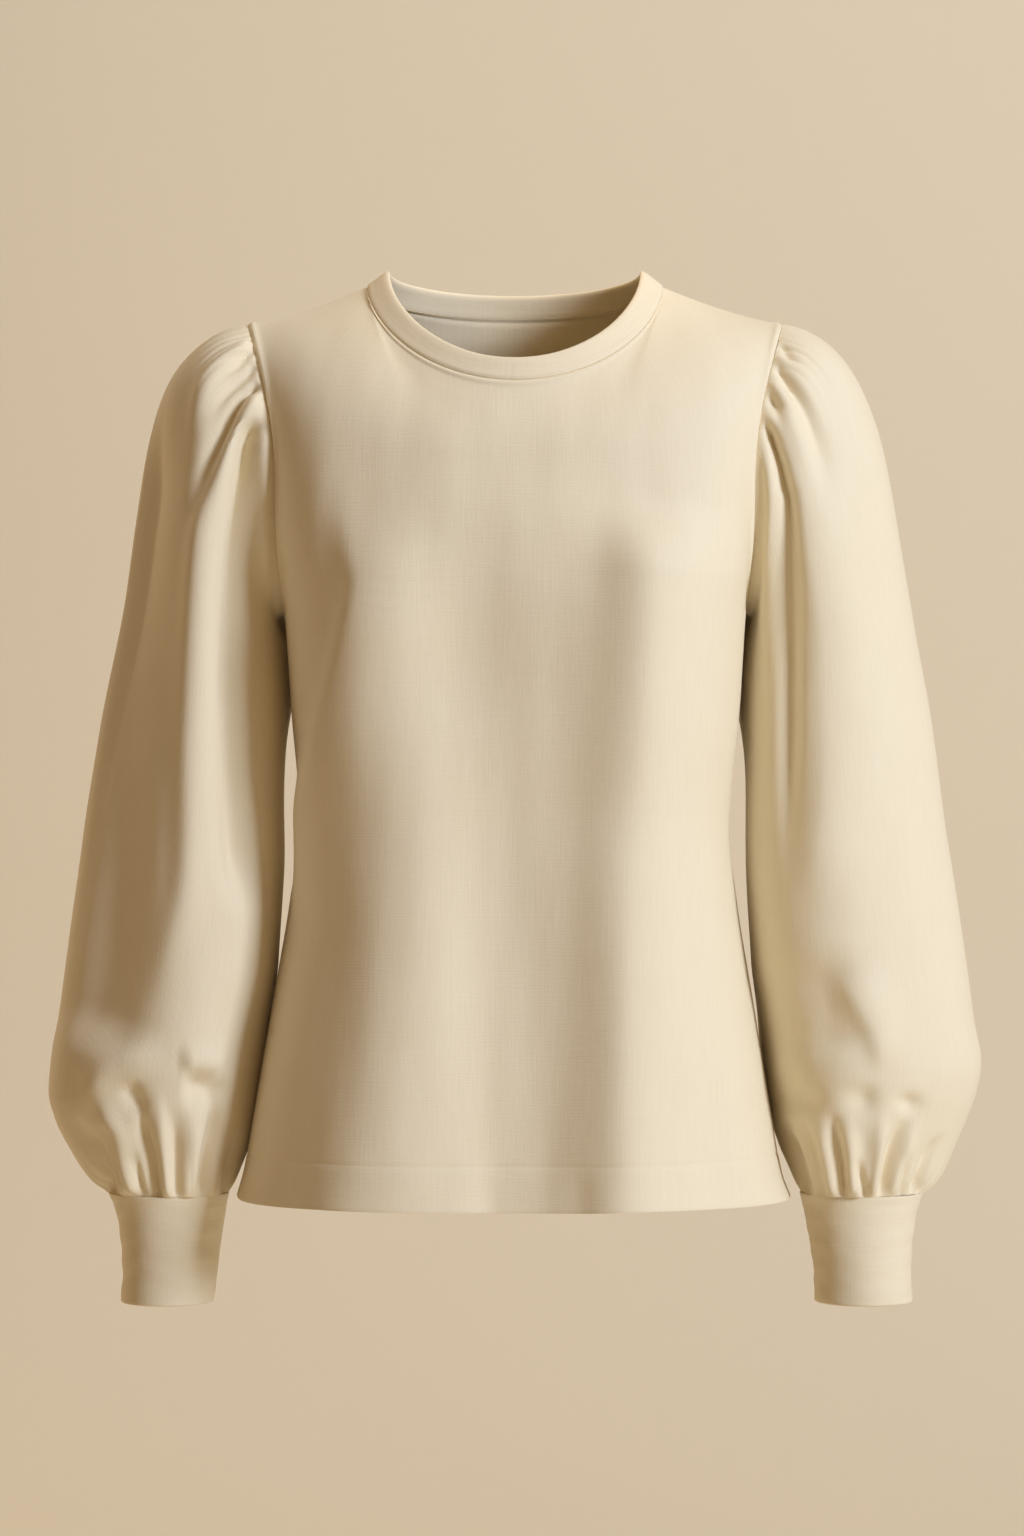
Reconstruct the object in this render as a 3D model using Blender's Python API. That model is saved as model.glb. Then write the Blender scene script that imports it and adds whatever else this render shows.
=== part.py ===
"""A crew-neck blouse with gathered bishop sleeves, filled out as if it were worn.

All lengths in the tables are millimetres, and MM turns them into metres. The origin lies midway
between the two high points of the shoulders. -Y is the front, +Z is up, and +X is the wearer's
left. Each cut piece is one solid wall of cloth, and neighbours stay a seam gap apart.
"""

from collections import namedtuple
from functools import lru_cache
from math import pi, radians

import bmesh
import bpy
import numpy as np

MM = 0.001
CLOTH = 1.6  # thickness of a single layer's wall
BAND_CLOTH = 3.0  # the neckband is folded double
CUFF_CLOTH = 2.6  # so is a cuff
SEAM_GAP = 0.3  # between the walls of two pieces sewn together
HEM_DEPTH = 29.0  # the turned-up hem, which doubles the wall inwards
HEM_EXTRA = 1.2
SIDES = {"left": 1, "right": -1}

# Driving sizes of the body.
HEM_Z = -601.0
UNDERARM_Z = -222.0
YOKE_Z = -125.0  # above this height the panels curve over the shoulders
SHOULDER_POINT = np.array([173.5, 4.0, -34.5])
NECK_POINT = np.array([95.5, 1.0, -10.0])
NECK_SHARE = 0.5  # the share of a panel's half width that ends on the neckline

# Half of the neck seam, and of the neckband's top edge, at the centre front, side and back.
NeckCurve = namedtuple("NeckCurve", "half_width front_y back_y side_y front_z back_z side_z")
NECK_SEAM = NeckCurve(95.5, -84.0, 64.0, 1.0, -77.0, -24.0, -10.0)
NECK_TOP = NeckCurve(81.5, -77.5, 57.0, 1.0, -62.5, -9.5, 0.0)
NECK_SCOOP = 1.15  # above 1, the front neckline is more pointed than a plain ellipse

# Level sections of the body. Above the underarm the armholes cut off the sides of each section.
# square is how much fuller than an ellipse the section is at its corners.
BodyRow = namedtuple(
    "BodyRow", "name z half_width back_half_width centre_x front_y back_y side_y square"
)
BODY_ROWS = (
    BodyRow("hem", HEM_Z, 179.2, 179.2, -1.0, -117.0, 112.0, 2.0, 0.10),
    BodyRow("hem_fold", -585.0, 174.0, 174.0, -1.7, -116.0, 111.5, 2.0, 0.10),
    BodyRow("low_hip", -545.0, 167.0, 167.0, -1.6, -114.0, 109.0, 2.0, 0.10),
    BodyRow("hip", -486.0, 157.5, 157.5, -1.3, -110.0, 105.0, 2.0, 0.10),
    BodyRow("high_hip", -410.0, 144.5, 144.5, -1.3, -104.0, 97.0, 2.5, 0.10),
    BodyRow("waist", -359.0, 138.5, 138.5, -0.9, -102.0, 91.0, 3.0, 0.10),
    BodyRow("ribs", -291.0, 144.0, 144.0, 0.0, -109.0, 96.0, 3.5, 0.13),
    BodyRow("underarm", UNDERARM_Z, 149.0, 149.0, 0.0, -112.0, 101.0, 4.0, 0.18),
    BodyRow("chest", -174.0, 156.8, 159.0, 0.0, -108.0, 103.0, 4.0, 0.23),
    BodyRow("yoke", YOKE_Z, 162.0, 166.0, 0.0, -100.0, 101.0, 4.0, 0.26),
)
ARMHOLE_FRONT_Y = -54.0  # how far the armhole's edges have parted from the side at the yoke
ARMHOLE_BACK_Y = 50.0
ARMHOLE_CURVE = 1.4  # the higher, the broader the bottom of the armhole

# Degrees above the level at which a panel reaches the neck seam and the shoulder seam.
TILT_FRONT = 66.0
TILT_BACK = 50.0
TILT_SIDE_FRONT = 34.0
TILT_SIDE_BACK = 4.0
TILT_SHOULDER = 6.0
NECK_SLOPE = 0.3
FRONT_SLOPE = 1.5
BACK_SLOPE = 1.0

# Soft vertical folds of the front and the back, each a crest that grows towards the hem.
DrapeFold = namedtuple("DrapeFold", "name x_top x_hem z_top z_full height hem_height width")
FRONT_FOLDS = (
    DrapeFold("right_bust", -101.0, -140.0, -150.0, -235.0, 4.5, 1.0, 22.0),
    DrapeFold("right_main", -73.0, -94.0, -230.0, -420.0, 3.0, 8.5, 27.0),
    DrapeFold("left_main", 70.0, 63.0, -230.0, -420.0, 3.5, 9.0, 27.0),
    DrapeFold("left_bust", 84.0, 135.0, -150.0, -235.0, 4.5, 1.0, 24.0),
)
BACK_FOLDS = (
    DrapeFold("right_blade", -70.0, -96.0, -190.0, -420.0, 3.0, 7.5, 28.0),
    DrapeFold("centre_back", 6.0, 2.0, -300.0, -480.0, 1.0, 5.0, 26.0),
    DrapeFold("left_blade", 74.0, 92.0, -190.0, -420.0, 3.0, 7.5, 28.0),
)

# Level sections of a sleeve, from the one just under the armhole down to the cuff seam. inner is
# the distance of its body side from the centre line of the blouse.
SleeveRow = namedtuple("SleeveRow", "name z inner outer_left outer_right mid_y front back")
SLEEVE_ROWS = (
    SleeveRow("upper_arm", -240.0, 155.0, 261.0, 260.0, 4.0, 57.0, 50.0),
    SleeveRow("mid_arm", -291.0, 152.0, 270.0, 269.5, 5.0, 60.0, 54.0),
    SleeveRow("elbow", -369.0, 151.0, 282.0, 282.0, 7.0, 63.0, 58.0),
    SleeveRow("forearm", -447.0, 156.0, 293.0, 293.5, 9.0, 66.0, 62.0),
    SleeveRow("full", -486.0, 163.5, 298.5, 299.0, 10.0, 67.0, 63.0),
    SleeveRow("fullest", -515.0, 168.0, 303.5, 302.5, 11.0, 67.0, 63.0),
    SleeveRow("droop", -533.0, 170.5, 300.5, 303.5, 11.0, 64.5, 60.5),
    SleeveRow("turn", -549.0, 172.5, 294.5, 299.5, 11.0, 60.0, 57.0),
    SleeveRow("gathers", -570.0, 177.0, 285.0, 289.0, 10.0, 52.0, 49.0),
    SleeveRow("over_cuff", -588.0, 182.5, 276.0, 276.5, 8.0, 43.5, 41.0),
    SleeveRow("cuff_seam", -598.6, 186.9, 265.5, 265.0, 6.0, 37.0, 36.0),
)
FRONT_LEAN = 0.22  # how far a sleeve section's front bulges towards the body side

CuffRow = namedtuple(
    "CuffRow", "name z inner_left outer_left inner_right outer_right front back"
)
CUFF_ROWS = (
    CuffRow("top", -598.6, 186.6, 264.3, 187.4, 263.4, 36.5, 35.5),
    CuffRow("upper", -613.0, 189.6, 260.2, 190.0, 258.4, 34.5, 33.5),
    CuffRow("middle", -634.0, 193.6, 257.5, 193.4, 255.6, 33.0, 32.0),
    CuffRow("lower", -653.0, 196.2, 256.8, 195.7, 254.8, 32.0, 31.5),
    CuffRow("edge", -669.5, 196.4, 258.0, 197.5, 256.1, 32.0, 31.5),
)
CUFF_Y = 6.0

# Where columns of the sleeve meet the armhole: around is 0 at the underarm and 0.5 at the
# shoulder, and share is the part of that half of the armhole passed.
ShareRow = namedtuple("ShareRow", "around share")
SHARE_ROWS = (
    ShareRow(0.0, 0.0),
    ShareRow(0.1, 0.31),
    ShareRow(0.2, 0.60),
    ShareRow(0.3, 0.79),
    ShareRow(0.4, 0.905),
    ShareRow(0.5, 1.0),
)

# How the sleeve leaves the armhole, and how it falls into its first level section.
CapRow = namedtuple("CapRow", "name around out forward up reach arrive")
CAP_ROWS = (
    CapRow("underarm", 0.0, 0.97, 0.0, -0.22, 9.0, 9.0),
    CapRow("front_low", 0.1, 0.95, 0.12, 0.05, 16.0, 22.0),
    CapRow("front_notch", 0.2, 0.92, 0.32, 0.05, 30.0, 60.0),
    CapRow("front_cap", 0.35, 0.93, 0.33, -0.05, 46.0, 105.0),
    CapRow("shoulder", 0.5, 0.98, 0.0, -0.17, 60.0, 134.0),
    CapRow("back_cap", 0.65, 0.93, -0.33, -0.05, 46.0, 105.0),
    CapRow("back_notch", 0.8, 0.92, -0.30, 0.05, 30.0, 60.0),
    CapRow("back_low", 0.9, 0.95, -0.12, 0.05, 16.0, 22.0),
    CapRow("underarm_again", 1.0, 0.97, 0.0, -0.22, 9.0, 9.0),
)

# How much further each head puffs out, and how much sooner it turns down.
PUFF = {"left": 1.05, "right": 1.23}
FALL = {"left": 0.97, "right": 0.82}

# Gathers, each a crest. around is its place round the sleeve, length how far it runs from its
# seam, and height its rise above the troughs beside it.
Gather = namedtuple("Gather", "around length height")
CAP_GATHERS = {
    "left": (
        Gather(0.190, 150, 5.0),
        Gather(0.232, 90, 4.5),
        Gather(0.275, 170, 5.5),
        Gather(0.318, 70, 4.0),
        Gather(0.362, 120, 4.5),
        Gather(0.407, 60, 3.6),
        Gather(0.453, 80, 3.4),
        Gather(0.500, 60, 3.2),
        Gather(0.547, 90, 3.4),
        Gather(0.593, 60, 3.6),
        Gather(0.638, 120, 4.5),
        Gather(0.682, 75, 4.2),
        Gather(0.727, 160, 5.2),
        Gather(0.772, 90, 4.6),
        Gather(0.815, 130, 4.6),
    ),
    "right": (
        Gather(0.192, 170, 5.2),
        Gather(0.235, 110, 5.2),
        Gather(0.277, 190, 6.0),
        Gather(0.320, 150, 5.0),
        Gather(0.364, 90, 4.8),
        Gather(0.408, 120, 4.2),
        Gather(0.454, 70, 3.6),
        Gather(0.500, 90, 3.4),
        Gather(0.546, 70, 3.6),
        Gather(0.592, 100, 4.0),
        Gather(0.637, 80, 4.4),
        Gather(0.681, 140, 4.8),
        Gather(0.726, 100, 4.8),
        Gather(0.770, 170, 5.2),
        Gather(0.813, 120, 4.6),
    ),
}
CUFF_GATHERS = {
    "left": (
        Gather(0.020, 55, 4.5),
        Gather(0.068, 70, 5.0),
        Gather(0.112, 60, 5.2),
        Gather(0.158, 85, 5.4),
        Gather(0.205, 50, 4.6),
        Gather(0.252, 75, 5.4),
        Gather(0.300, 45, 4.6),
        Gather(0.346, 80, 5.4),
        Gather(0.394, 65, 5.0),
        Gather(0.444, 75, 5.0),
        Gather(0.494, 60, 4.6),
        Gather(0.545, 75, 5.0),
        Gather(0.594, 50, 4.6),
        Gather(0.644, 80, 5.4),
        Gather(0.694, 60, 4.8),
        Gather(0.744, 85, 5.4),
        Gather(0.795, 50, 4.8),
        Gather(0.846, 75, 5.0),
        Gather(0.904, 55, 4.6),
        Gather(0.962, 65, 4.6),
    ),
    "right": (
        Gather(0.018, 60, 4.6),
        Gather(0.066, 55, 4.8),
        Gather(0.116, 75, 5.2),
        Gather(0.170, 90, 5.6),
        Gather(0.226, 80, 5.6),
        Gather(0.280, 85, 5.6),
        Gather(0.328, 50, 4.6),
        Gather(0.372, 90, 5.6),
        Gather(0.418, 60, 4.8),
        Gather(0.462, 70, 4.8),
        Gather(0.506, 55, 4.6),
        Gather(0.552, 75, 5.0),
        Gather(0.600, 60, 4.8),
        Gather(0.650, 85, 5.4),
        Gather(0.700, 55, 4.8),
        Gather(0.750, 80, 5.4),
        Gather(0.800, 60, 4.8),
        Gather(0.850, 70, 5.0),
        Gather(0.904, 55, 4.6),
        Gather(0.960, 65, 4.6),
    ),
}
CAP_RISE = 14.0  # distance from the armhole over which a gather reaches its height
CUFF_RISE = 9.0

# Places of the rows and columns of points on each wall.
SIDE_LEVELS = (HEM_Z, -573, -571, -540, -505, -468, -430, -390, -350, -308, -264)
ARMHOLE_STEPS = (0.0, 0.02, 0.09, 0.24, 0.48, 0.75, 1.0)
YOKE_STEPS = (0.25, 0.50, 0.76, 1.0)
NECK_COLUMNS = 16
SHOULDER_COLUMNS = 4
CAP_STEPS = (0.07, 0.16, 0.28, 0.44, 0.62, 0.82)
FINE_CAP = 0.3  # the cap is divided as finely as its gathers up to here
ARM_LEVELS = (-240, -278, -322, -368, -414, -458, -495, -520)
GATHER_LEVELS = (-540, -560, -578, -591)
PLAIN_COLUMNS = 40
CUFF_COLUMNS = 32
CUFF_LEVELS = (-598.6, -610, -636, -669.5)

CREAM = (0.86, 0.80, 0.69, 1.0)


def unit(vectors):
    """The vectors, of one or many rows, made one long."""
    return vectors / np.maximum(np.linalg.norm(vectors, axis=-1, keepdims=True), 1e-9)


def ease(at):
    """Rises smoothly from 0 to 1 as at does."""
    t = np.clip(at, 0.0, 1.0)
    return t * t * (3 - 2 * t)


def blend(rows, key, column, at):
    """A table's column at places along its key, on a smooth curve that never overshoots."""
    rows = sorted(rows, key=lambda row: getattr(row, key))
    places = np.array([getattr(row, key) for row in rows], float)
    values = np.array([getattr(row, column) for row in rows], float)
    step = np.diff(places)
    rise = np.diff(values) / step
    slopes = np.zeros(len(places))
    same = rise[:-1] * rise[1:] > 0
    slopes[1:-1][same] = 2 / (1 / rise[:-1][same] + 1 / rise[1:][same])
    slopes[0], slopes[-1] = rise[0], rise[-1]
    at = np.clip(np.asarray(at, float), places[0], places[-1])
    i = np.clip(np.searchsorted(places, at, side="right") - 1, 0, len(places) - 2)
    t = (at - places[i]) / step[i]
    return (
        values[i] * (1 + 2 * t) * (1 - t) ** 2
        + slopes[i] * step[i] * t * (1 - t) ** 2
        + values[i + 1] * (3 - 2 * t) * t**2
        - slopes[i + 1] * step[i] * (1 - t) * t**2
    )


def bezier(a, b, c, d, t):
    s = 1 - t
    return a * s**3 + b * (3 * s * s * t) + c * (3 * s * t * t) + d * t**3


def stacked(x, y, z):
    """Rows of points from three lots of coordinates."""
    return np.stack(np.broadcast_arrays(x, y, z), axis=-1).astype(float)


# The body


def neck_curve(curve, angle):
    """Points of a neckline. angle is 0 at the centre front and a quarter turn at the left."""
    c, s = np.cos(angle), np.sin(angle)
    front = c >= 0
    end_y = np.where(front, curve.front_y, curve.back_y)
    end_z = np.where(front, curve.front_z, curve.back_z)
    drop = np.where(front, np.abs(c) ** NECK_SCOOP, np.abs(c))
    return stacked(
        curve.half_width * s,
        curve.side_y + (end_y - curve.side_y) * np.abs(c),
        curve.side_z + (end_z - curve.side_z) * drop,
    )


def neck_angle(front, u):
    """The angle round the neck at which a panel's column ends."""
    quarter = pi / 2 * np.clip(u / NECK_SHARE, -1, 1)
    return quarter if front else pi - quarter


def section(front, u, z):
    """A level row of a panel. u runs from -1 at the wearer's right edge to 1 at the left."""
    half = blend(BODY_ROWS, "z", "half_width" if front else "back_half_width", z)
    centre_y = blend(BODY_ROWS, "z", "front_y" if front else "back_y", z)
    side_y = blend(BODY_ROWS, "z", "side_y", z)
    opened = np.clip((z - UNDERARM_Z) / (YOKE_Z - UNDERARM_Z), 0, 1)
    parted = np.sqrt(1 - (1 - opened) ** ARMHOLE_CURVE)
    edge_y = (ARMHOLE_FRONT_Y if front else ARMHOLE_BACK_Y) * parted
    square = blend(BODY_ROWS, "z", "square", z)
    end = pi / 2
    for _ in range(20):
        end = np.arccos(edge_y / (centre_y - side_y) / (1 + square * np.sin(end) ** 2))
    narrowed = 1 - end / (pi / 2)
    share = np.abs(u) - narrowed * np.abs(u) ** (1 + 3 * (1 - opened))
    angle = pi / 2 * share * np.sign(u)
    x = half * np.sin(angle) * (1 + square * np.cos(angle) ** 2)
    y = (centre_y - side_y) * np.cos(angle) * (1 + square * np.sin(angle) ** 2)
    return stacked(blend(BODY_ROWS, "z", "centre_x", z) + x, side_y + y, z)


def drape(front, x, z):
    """How far the soft folds stand out at a place on the front or back."""
    height = 0.0
    for fold in FRONT_FOLDS if front else BACK_FOLDS:
        down = (z - fold.z_top) / (HEM_Z - fold.z_top)
        crest = fold.x_top + (fold.x_hem - fold.x_top) * down
        grown = ease((fold.z_top - z) / (fold.z_top - fold.z_full))
        rise = fold.height + (fold.hem_height - fold.height) * ease(down)
        height = height + grown * rise * np.exp(-(((x - crest) / fold.width) ** 2))
    return height


def body_row(front, u, z):
    """A level row with its folds, which fade out towards the seams."""
    row = section(front, u, z)
    outward = unit(row * np.array([1 / 150.0, 1 / 105.0, 0.0]))
    fade = 1 - ease((np.abs(u) - 0.72) / 0.28)
    return row + outward * (drape(front, row[:, 0], z) * fade)[:, None]


def top_row(front, u):
    """The points of a panel's top edge: shoulder seam, neckline, shoulder seam."""
    neck = neck_curve(NECK_SEAM, neck_angle(front, u))
    share = np.clip((np.abs(u) - NECK_SHARE) / (1 - NECK_SHARE), 0, 1)[:, None]
    shoulder = NECK_POINT + (SHOULDER_POINT - NECK_POINT) * share
    shoulder = shoulder + np.array([0, 0, -2.0]) * np.sin(pi * share)
    shoulder = shoulder * stacked(np.sign(u), 1, 1)
    return np.where(np.abs(u)[:, None] <= NECK_SHARE, neck, shoulder)


def yoke_row(front, u, step):
    """A row above the level sections, on curves that run up to the top edge."""
    start = body_row(front, u, YOKE_Z)
    rise = unit(start - body_row(front, u, YOKE_Z - 4.0))
    end = top_row(front, u)
    back = 1.0 if front else -1.0
    neckwards = ease(np.abs(u) / NECK_SHARE)
    beyond = np.clip((np.abs(u) - NECK_SHARE) / (1 - NECK_SHARE), 0, 1)
    centre, side = (TILT_FRONT, TILT_SIDE_FRONT) if front else (TILT_BACK, TILT_SIDE_BACK)
    tilt = np.radians(centre + (side - centre) * neckwards + (TILT_SHOULDER - side) * beyond)
    arrive = stacked(0.0, back * np.cos(tilt), np.sin(tilt))
    apart = np.linalg.norm(end - start, axis=-1)[:, None]
    return bezier(start, start + rise * apart * 0.40, end - arrive * apart * 0.30, end, step)


def panel_columns():
    neck = [NECK_SHARE * (2 * k / NECK_COLUMNS - 1) for k in range(NECK_COLUMNS + 1)]
    shares = [k / SHOULDER_COLUMNS for k in range(1, SHOULDER_COLUMNS + 1)]
    outer = [NECK_SHARE + (1 - NECK_SHARE) * share for share in shares]
    return np.array([-u for u in reversed(outer)] + neck + outer)


def armhole_levels():
    return [UNDERARM_Z + (YOKE_Z - UNDERARM_Z) * step for step in ARMHOLE_STEPS]


def panel_rows(front, u):
    """Every row of a panel's points, from the hem up."""
    rows = [body_row(front, u, z) for z in (*SIDE_LEVELS, *armhole_levels())]
    return rows + [yoke_row(front, u, step) for step in YOKE_STEPS]


def mitre(tangent, into_first, into_second, outward):
    """The directions across a seam, from its first piece to its second, and through its wall."""
    across = unit(into_second) - unit(into_first)
    across = unit(across - tangent * (across * tangent).sum(-1, keepdims=True))
    through = unit(np.cross(tangent, across))
    return across, through * np.sign((through * outward).sum(-1, keepdims=True))


# A seam: places round it from 0 to 1, its corners, and the directions across and through there.
Seam = namedtuple("Seam", "places points across through leave")


def seam_at(seam, places):
    """A seam's points and directions at any places, on straight lines between its corners."""
    parts = []
    for part in seam[1:]:
        parts.append(np.stack([np.interp(places, seam.places, part[:, k]) for k in range(3)], -1))
    return Seam(places, *parts)


@lru_cache
def armhole(side):
    """The armhole seam, from the underarm round the front to the shoulder and down the back."""
    sign = SIDES[side]
    u = np.array([0.96, 1.0]) * sign
    points, normals = [], []
    for front in (True, False):
        rows = [body_row(front, u, z) for z in armhole_levels()]
        rows += [yoke_row(front, u, step) for step in YOKE_STEPS]
        rising = [stacked(0, 0, 1)] * len(ARMHOLE_STEPS)
        for step in YOKE_STEPS:
            rising.append(yoke_row(front, u, step)[0] - yoke_row(front, u, step - 0.05)[0])
        outward = [np.cross(row[1] - row[0], up) for row, up in zip(rows, rising)]
        normals.append([unit(n * np.sign(n[0] * sign + n[2])) for n in outward])
        points.append([row[1] for row in rows])
    corners = np.array(points[0] + points[1][-2::-1])
    outward = np.array(normals[0] + normals[1][-2::-1])
    middle = len(points[0]) - 1
    outward[middle] = unit(np.array([0.35 * sign, 0, 1.0]))
    outward[0] = outward[-1] = np.array([sign, 0.0, 0.1])
    lengths = np.linalg.norm(np.diff(corners, axis=0), axis=1)
    passed = np.concatenate([[0], np.cumsum(lengths)])
    half = passed[middle]
    share = np.where(passed <= half, passed / half, (passed[-1] - passed) / (passed[-1] - half))
    dense = np.linspace(0, 0.5, 501)
    around = np.interp(share, blend(SHARE_ROWS, "around", "share", dense), dense)
    around = np.where(passed <= half, around, 1 - around)
    tangent = np.empty_like(corners)
    tangent[1:-1] = unit(corners[2:] - corners[:-2])
    tangent[0] = tangent[-1] = unit(corners[1] - corners[-2])
    out, forward, up = (
        blend(CAP_ROWS, "around", name, around) for name in ("out", "forward", "up")
    )
    leave = unit(stacked(sign * out, -forward, up))
    inward = -sign * np.cross(tangent, outward)
    across, through = mitre(tangent, inward, leave, outward)
    return Seam(around, corners, across, through, leave)


def neck_seam(angle):
    """The neck seam's points, and its directions across to the band and through the wall."""
    points = neck_curve(NECK_SEAM, angle)
    tangent = unit(neck_curve(NECK_SEAM, angle + 0.01) - neck_curve(NECK_SEAM, angle - 0.01))
    into_band = unit(neck_curve(NECK_TOP, angle) - points)
    c, s = np.cos(angle), np.sin(angle)
    slope = NECK_SLOPE + np.where(c > 0, FRONT_SLOPE, BACK_SLOPE) * c * c
    into_panel = stacked(s, -c, -slope)
    return points, *mitre(tangent, into_panel, into_band, stacked(s, -c, 0.6))


def panel_wall(name, front):
    """The front or the back, between the hem, the side seams, the armholes and the neck seam."""
    u = panel_columns()
    rows = np.array(panel_rows(front, u))
    shape = rows.shape[:2]
    index = np.arange(shape[0] * shape[1]).reshape(shape)
    faces = np.stack([index[:-1, :-1], index[:-1, 1:], index[1:, 1:], index[1:, :-1]], -1)
    faces = faces.reshape(-1, 4) if front else faces.reshape(-1, 4)[:, ::-1]
    normals = vertex_normals(rows.reshape(-1, 3), faces).reshape(rows.shape)
    normals[: len(SIDE_LEVELS) + 1, [0, -1]] *= np.array([1, 0, 1])
    normals = unit(normals)
    half = SEAM_GAP / 2
    towards_front = np.array([0.0, -1.0 if front else 1.0, 0.0])
    at_shoulder = np.abs(u) > NECK_SHARE - 1e-6
    at_neck = np.abs(u) < NECK_SHARE + 1e-6
    rows[-1, at_shoulder] += towards_front * half
    normals[-1, at_shoulder] = unit(stacked(0.3 * np.sign(u[at_shoulder]), 0.0, 1.0))
    _, across, through = neck_seam(neck_angle(front, u[at_neck]))
    rows[-1, at_neck] -= across * half
    normals[-1, at_neck] = through
    rows[: len(SIDE_LEVELS) + 1, [0, -1]] += towards_front * half
    seam_rows = slice(len(SIDE_LEVELS), None)
    for side, column in (("right", 0), ("left", -1)):
        seam = armhole(side)
        count = shape[0] - len(SIDE_LEVELS)
        part = slice(0, count) if front else slice(-1, -count - 1, -1)
        rows[seam_rows, column] -= seam.across[part] * half
        normals[seam_rows, column] = seam.through[part]
    inside = np.full(shape, CLOTH / 2)
    inside[rows[:, :, 2] < HEM_Z + HEM_DEPTH] += HEM_EXTRA
    border = [*index[0], *index[1:, -1], *index[-1, -2::-1], *index[-2:0:-1, 0]]
    points, normals = rows.reshape(-1, 3), normals.reshape(-1, 3)
    add_wall(name, points, normals, faces, [border], inside.reshape(-1), CLOTH / 2)


# The sleeves


def sleeve_ring(side, around, z):
    """A level ring of a sleeve, before its gathers."""
    sign = SIDES[side]
    inner, outer, mid_y, front, back = (
        blend(SLEEVE_ROWS, "z", name, z)
        for name in ("inner", "outer_" + side, "mid_y", "front", "back")
    )
    angle = 2 * pi * np.asarray(around)
    depth = np.where(np.sin(angle) > 0, front, back)
    y = mid_y - depth * np.sin(angle) * (1 + FRONT_LEAN * np.cos(angle))
    return stacked(sign * ((inner + outer) / 2 - (outer - inner) / 2 * np.cos(angle)), y, z)


def cap_ring(side, around, step):
    """A ring of a sleeve between the armhole, at step 0, and the first level ring, at step 1."""
    seam = seam_at(armhole(side), around)
    reach = blend(CAP_ROWS, "around", "reach", around)[:, None] * PUFF[side]
    arrive = blend(CAP_ROWS, "around", "arrive", around)[:, None] * FALL[side]
    start = seam.points + seam.across * SEAM_GAP / 2
    top = SLEEVE_ROWS[0].z
    end = sleeve_ring(side, around, top)
    down = unit(sleeve_ring(side, around, top - 5.0) - end)
    return bezier(start, start + seam.leave * reach, end - down * arrive, end, step)


def wave(gathers, around, distance, rise):
    """How far gathers stand out or fall in at places round a sleeve, this far from their seam."""
    places = [g.around for g in gathers]
    phase = np.interp(around, places, np.arange(len(places)))
    height = np.interp(around, places, [g.height for g in gathers])
    length = np.interp(around, places, [g.length for g in gathers])
    run = ease(distance / rise) * (1 - ease((distance - rise) / (length - rise)))
    return 0.5 * height * np.cos(2 * pi * phase) * run


def faded_ends(gathers):
    """The gathers with a flat one beyond each end."""
    first, last = gathers[0], gathers[-1]
    low = first._replace(around=first.around - 0.045, height=0.0)
    return (low, *gathers, last._replace(around=last.around + 0.045, height=0.0))


def wrapped(gathers):
    """The gathers with the first and last repeated a turn away, for a ring that closes."""
    first = gathers[0]._replace(around=gathers[0].around + 1)
    last = gathers[-1]._replace(around=gathers[-1].around - 1)
    return (last, *gathers, first)


def quarters(places):
    """The places, and three more between each pair."""
    return [a + (b - a) * k / 4 for a, b in zip(places, places[1:]) for k in range(4)]


def sleeve_rings(side):
    """Every ring as (places, points before gathers, outward reach of the gathers)."""
    cap, cuff = faded_ends(CAP_GATHERS[side]), wrapped(CUFF_GATHERS[side])
    fine = quarters([g.around for g in cap]) + [cap[-1].around]
    gap = 1 - fine[-1] + fine[0]
    spare = [(fine[-1] + gap * k / 9) % 1.0 for k in range(1, 9)]
    cap_places = np.array(sorted(fine + spare))
    seam_places = np.array(sorted({*cap_places, *armhole(side).places[:-1]}))
    cuff_places = np.array(quarters([g.around for g in cuff[1:]]))
    cuff_places = np.sort(cuff_places % 1.0)
    plain_places = np.arange(PLAIN_COLUMNS) / PLAIN_COLUMNS
    rings = [(seam_places, cap_ring(side, seam_places, 0.0), np.zeros(len(seam_places)))]
    for step in CAP_STEPS:
        places = cap_places if step < FINE_CAP else plain_places
        points = cap_ring(side, places, step)
        from_seam = np.linalg.norm(points - cap_ring(side, places, 0.0), axis=-1)
        rings.append((places, points, wave(cap, places, from_seam, CAP_RISE)))
    low = SLEEVE_ROWS[-1].z
    for z in (*ARM_LEVELS, *GATHER_LEVELS, low + SEAM_GAP / 2):
        places = cuff_places if z < GATHER_LEVELS[0] + 1 else plain_places
        points = sleeve_ring(side, places, z)
        from_seam = np.linalg.norm(points - cap_ring(side, places, 0.0), axis=-1)
        rise = wave(cap, places, from_seam, CAP_RISE)
        rings.append((places, points, rise + wave(cuff, places, z - low + 4.0, CUFF_RISE)))
    return rings


def ring_faces(first, second):
    """Triangles between two closed rings of (place, index) pairs, taken in turn round both."""
    faces, i, j = [], 0, 0
    while i < len(first) or j < len(second):
        a, b = first[i % len(first)], second[j % len(second)]
        next_a, next_b = first[(i + 1) % len(first)], second[(j + 1) % len(second)]
        reach_a = next_a[0] + (i + 1) // len(first)
        reach_b = next_b[0] + (j + 1) // len(second)
        if i < len(first) and (j >= len(second) or reach_a <= reach_b + 1e-9):
            faces.append((a[1], next_a[1], b[1]))
            i += 1
        else:
            faces.append((a[1], next_b[1], b[1]))
            j += 1
    return faces


def tube(rings):
    """Indices of each ring's points, and the triangles between them."""
    indexed, start = [], 0
    for places in rings:
        indexed.append(list(zip(places, range(start, start + len(places)))))
        start += len(places)
    faces = [face for a, b in zip(indexed, indexed[1:]) for face in ring_faces(a, b)]
    return [[i for _, i in ring] for ring in indexed], faces


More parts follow.
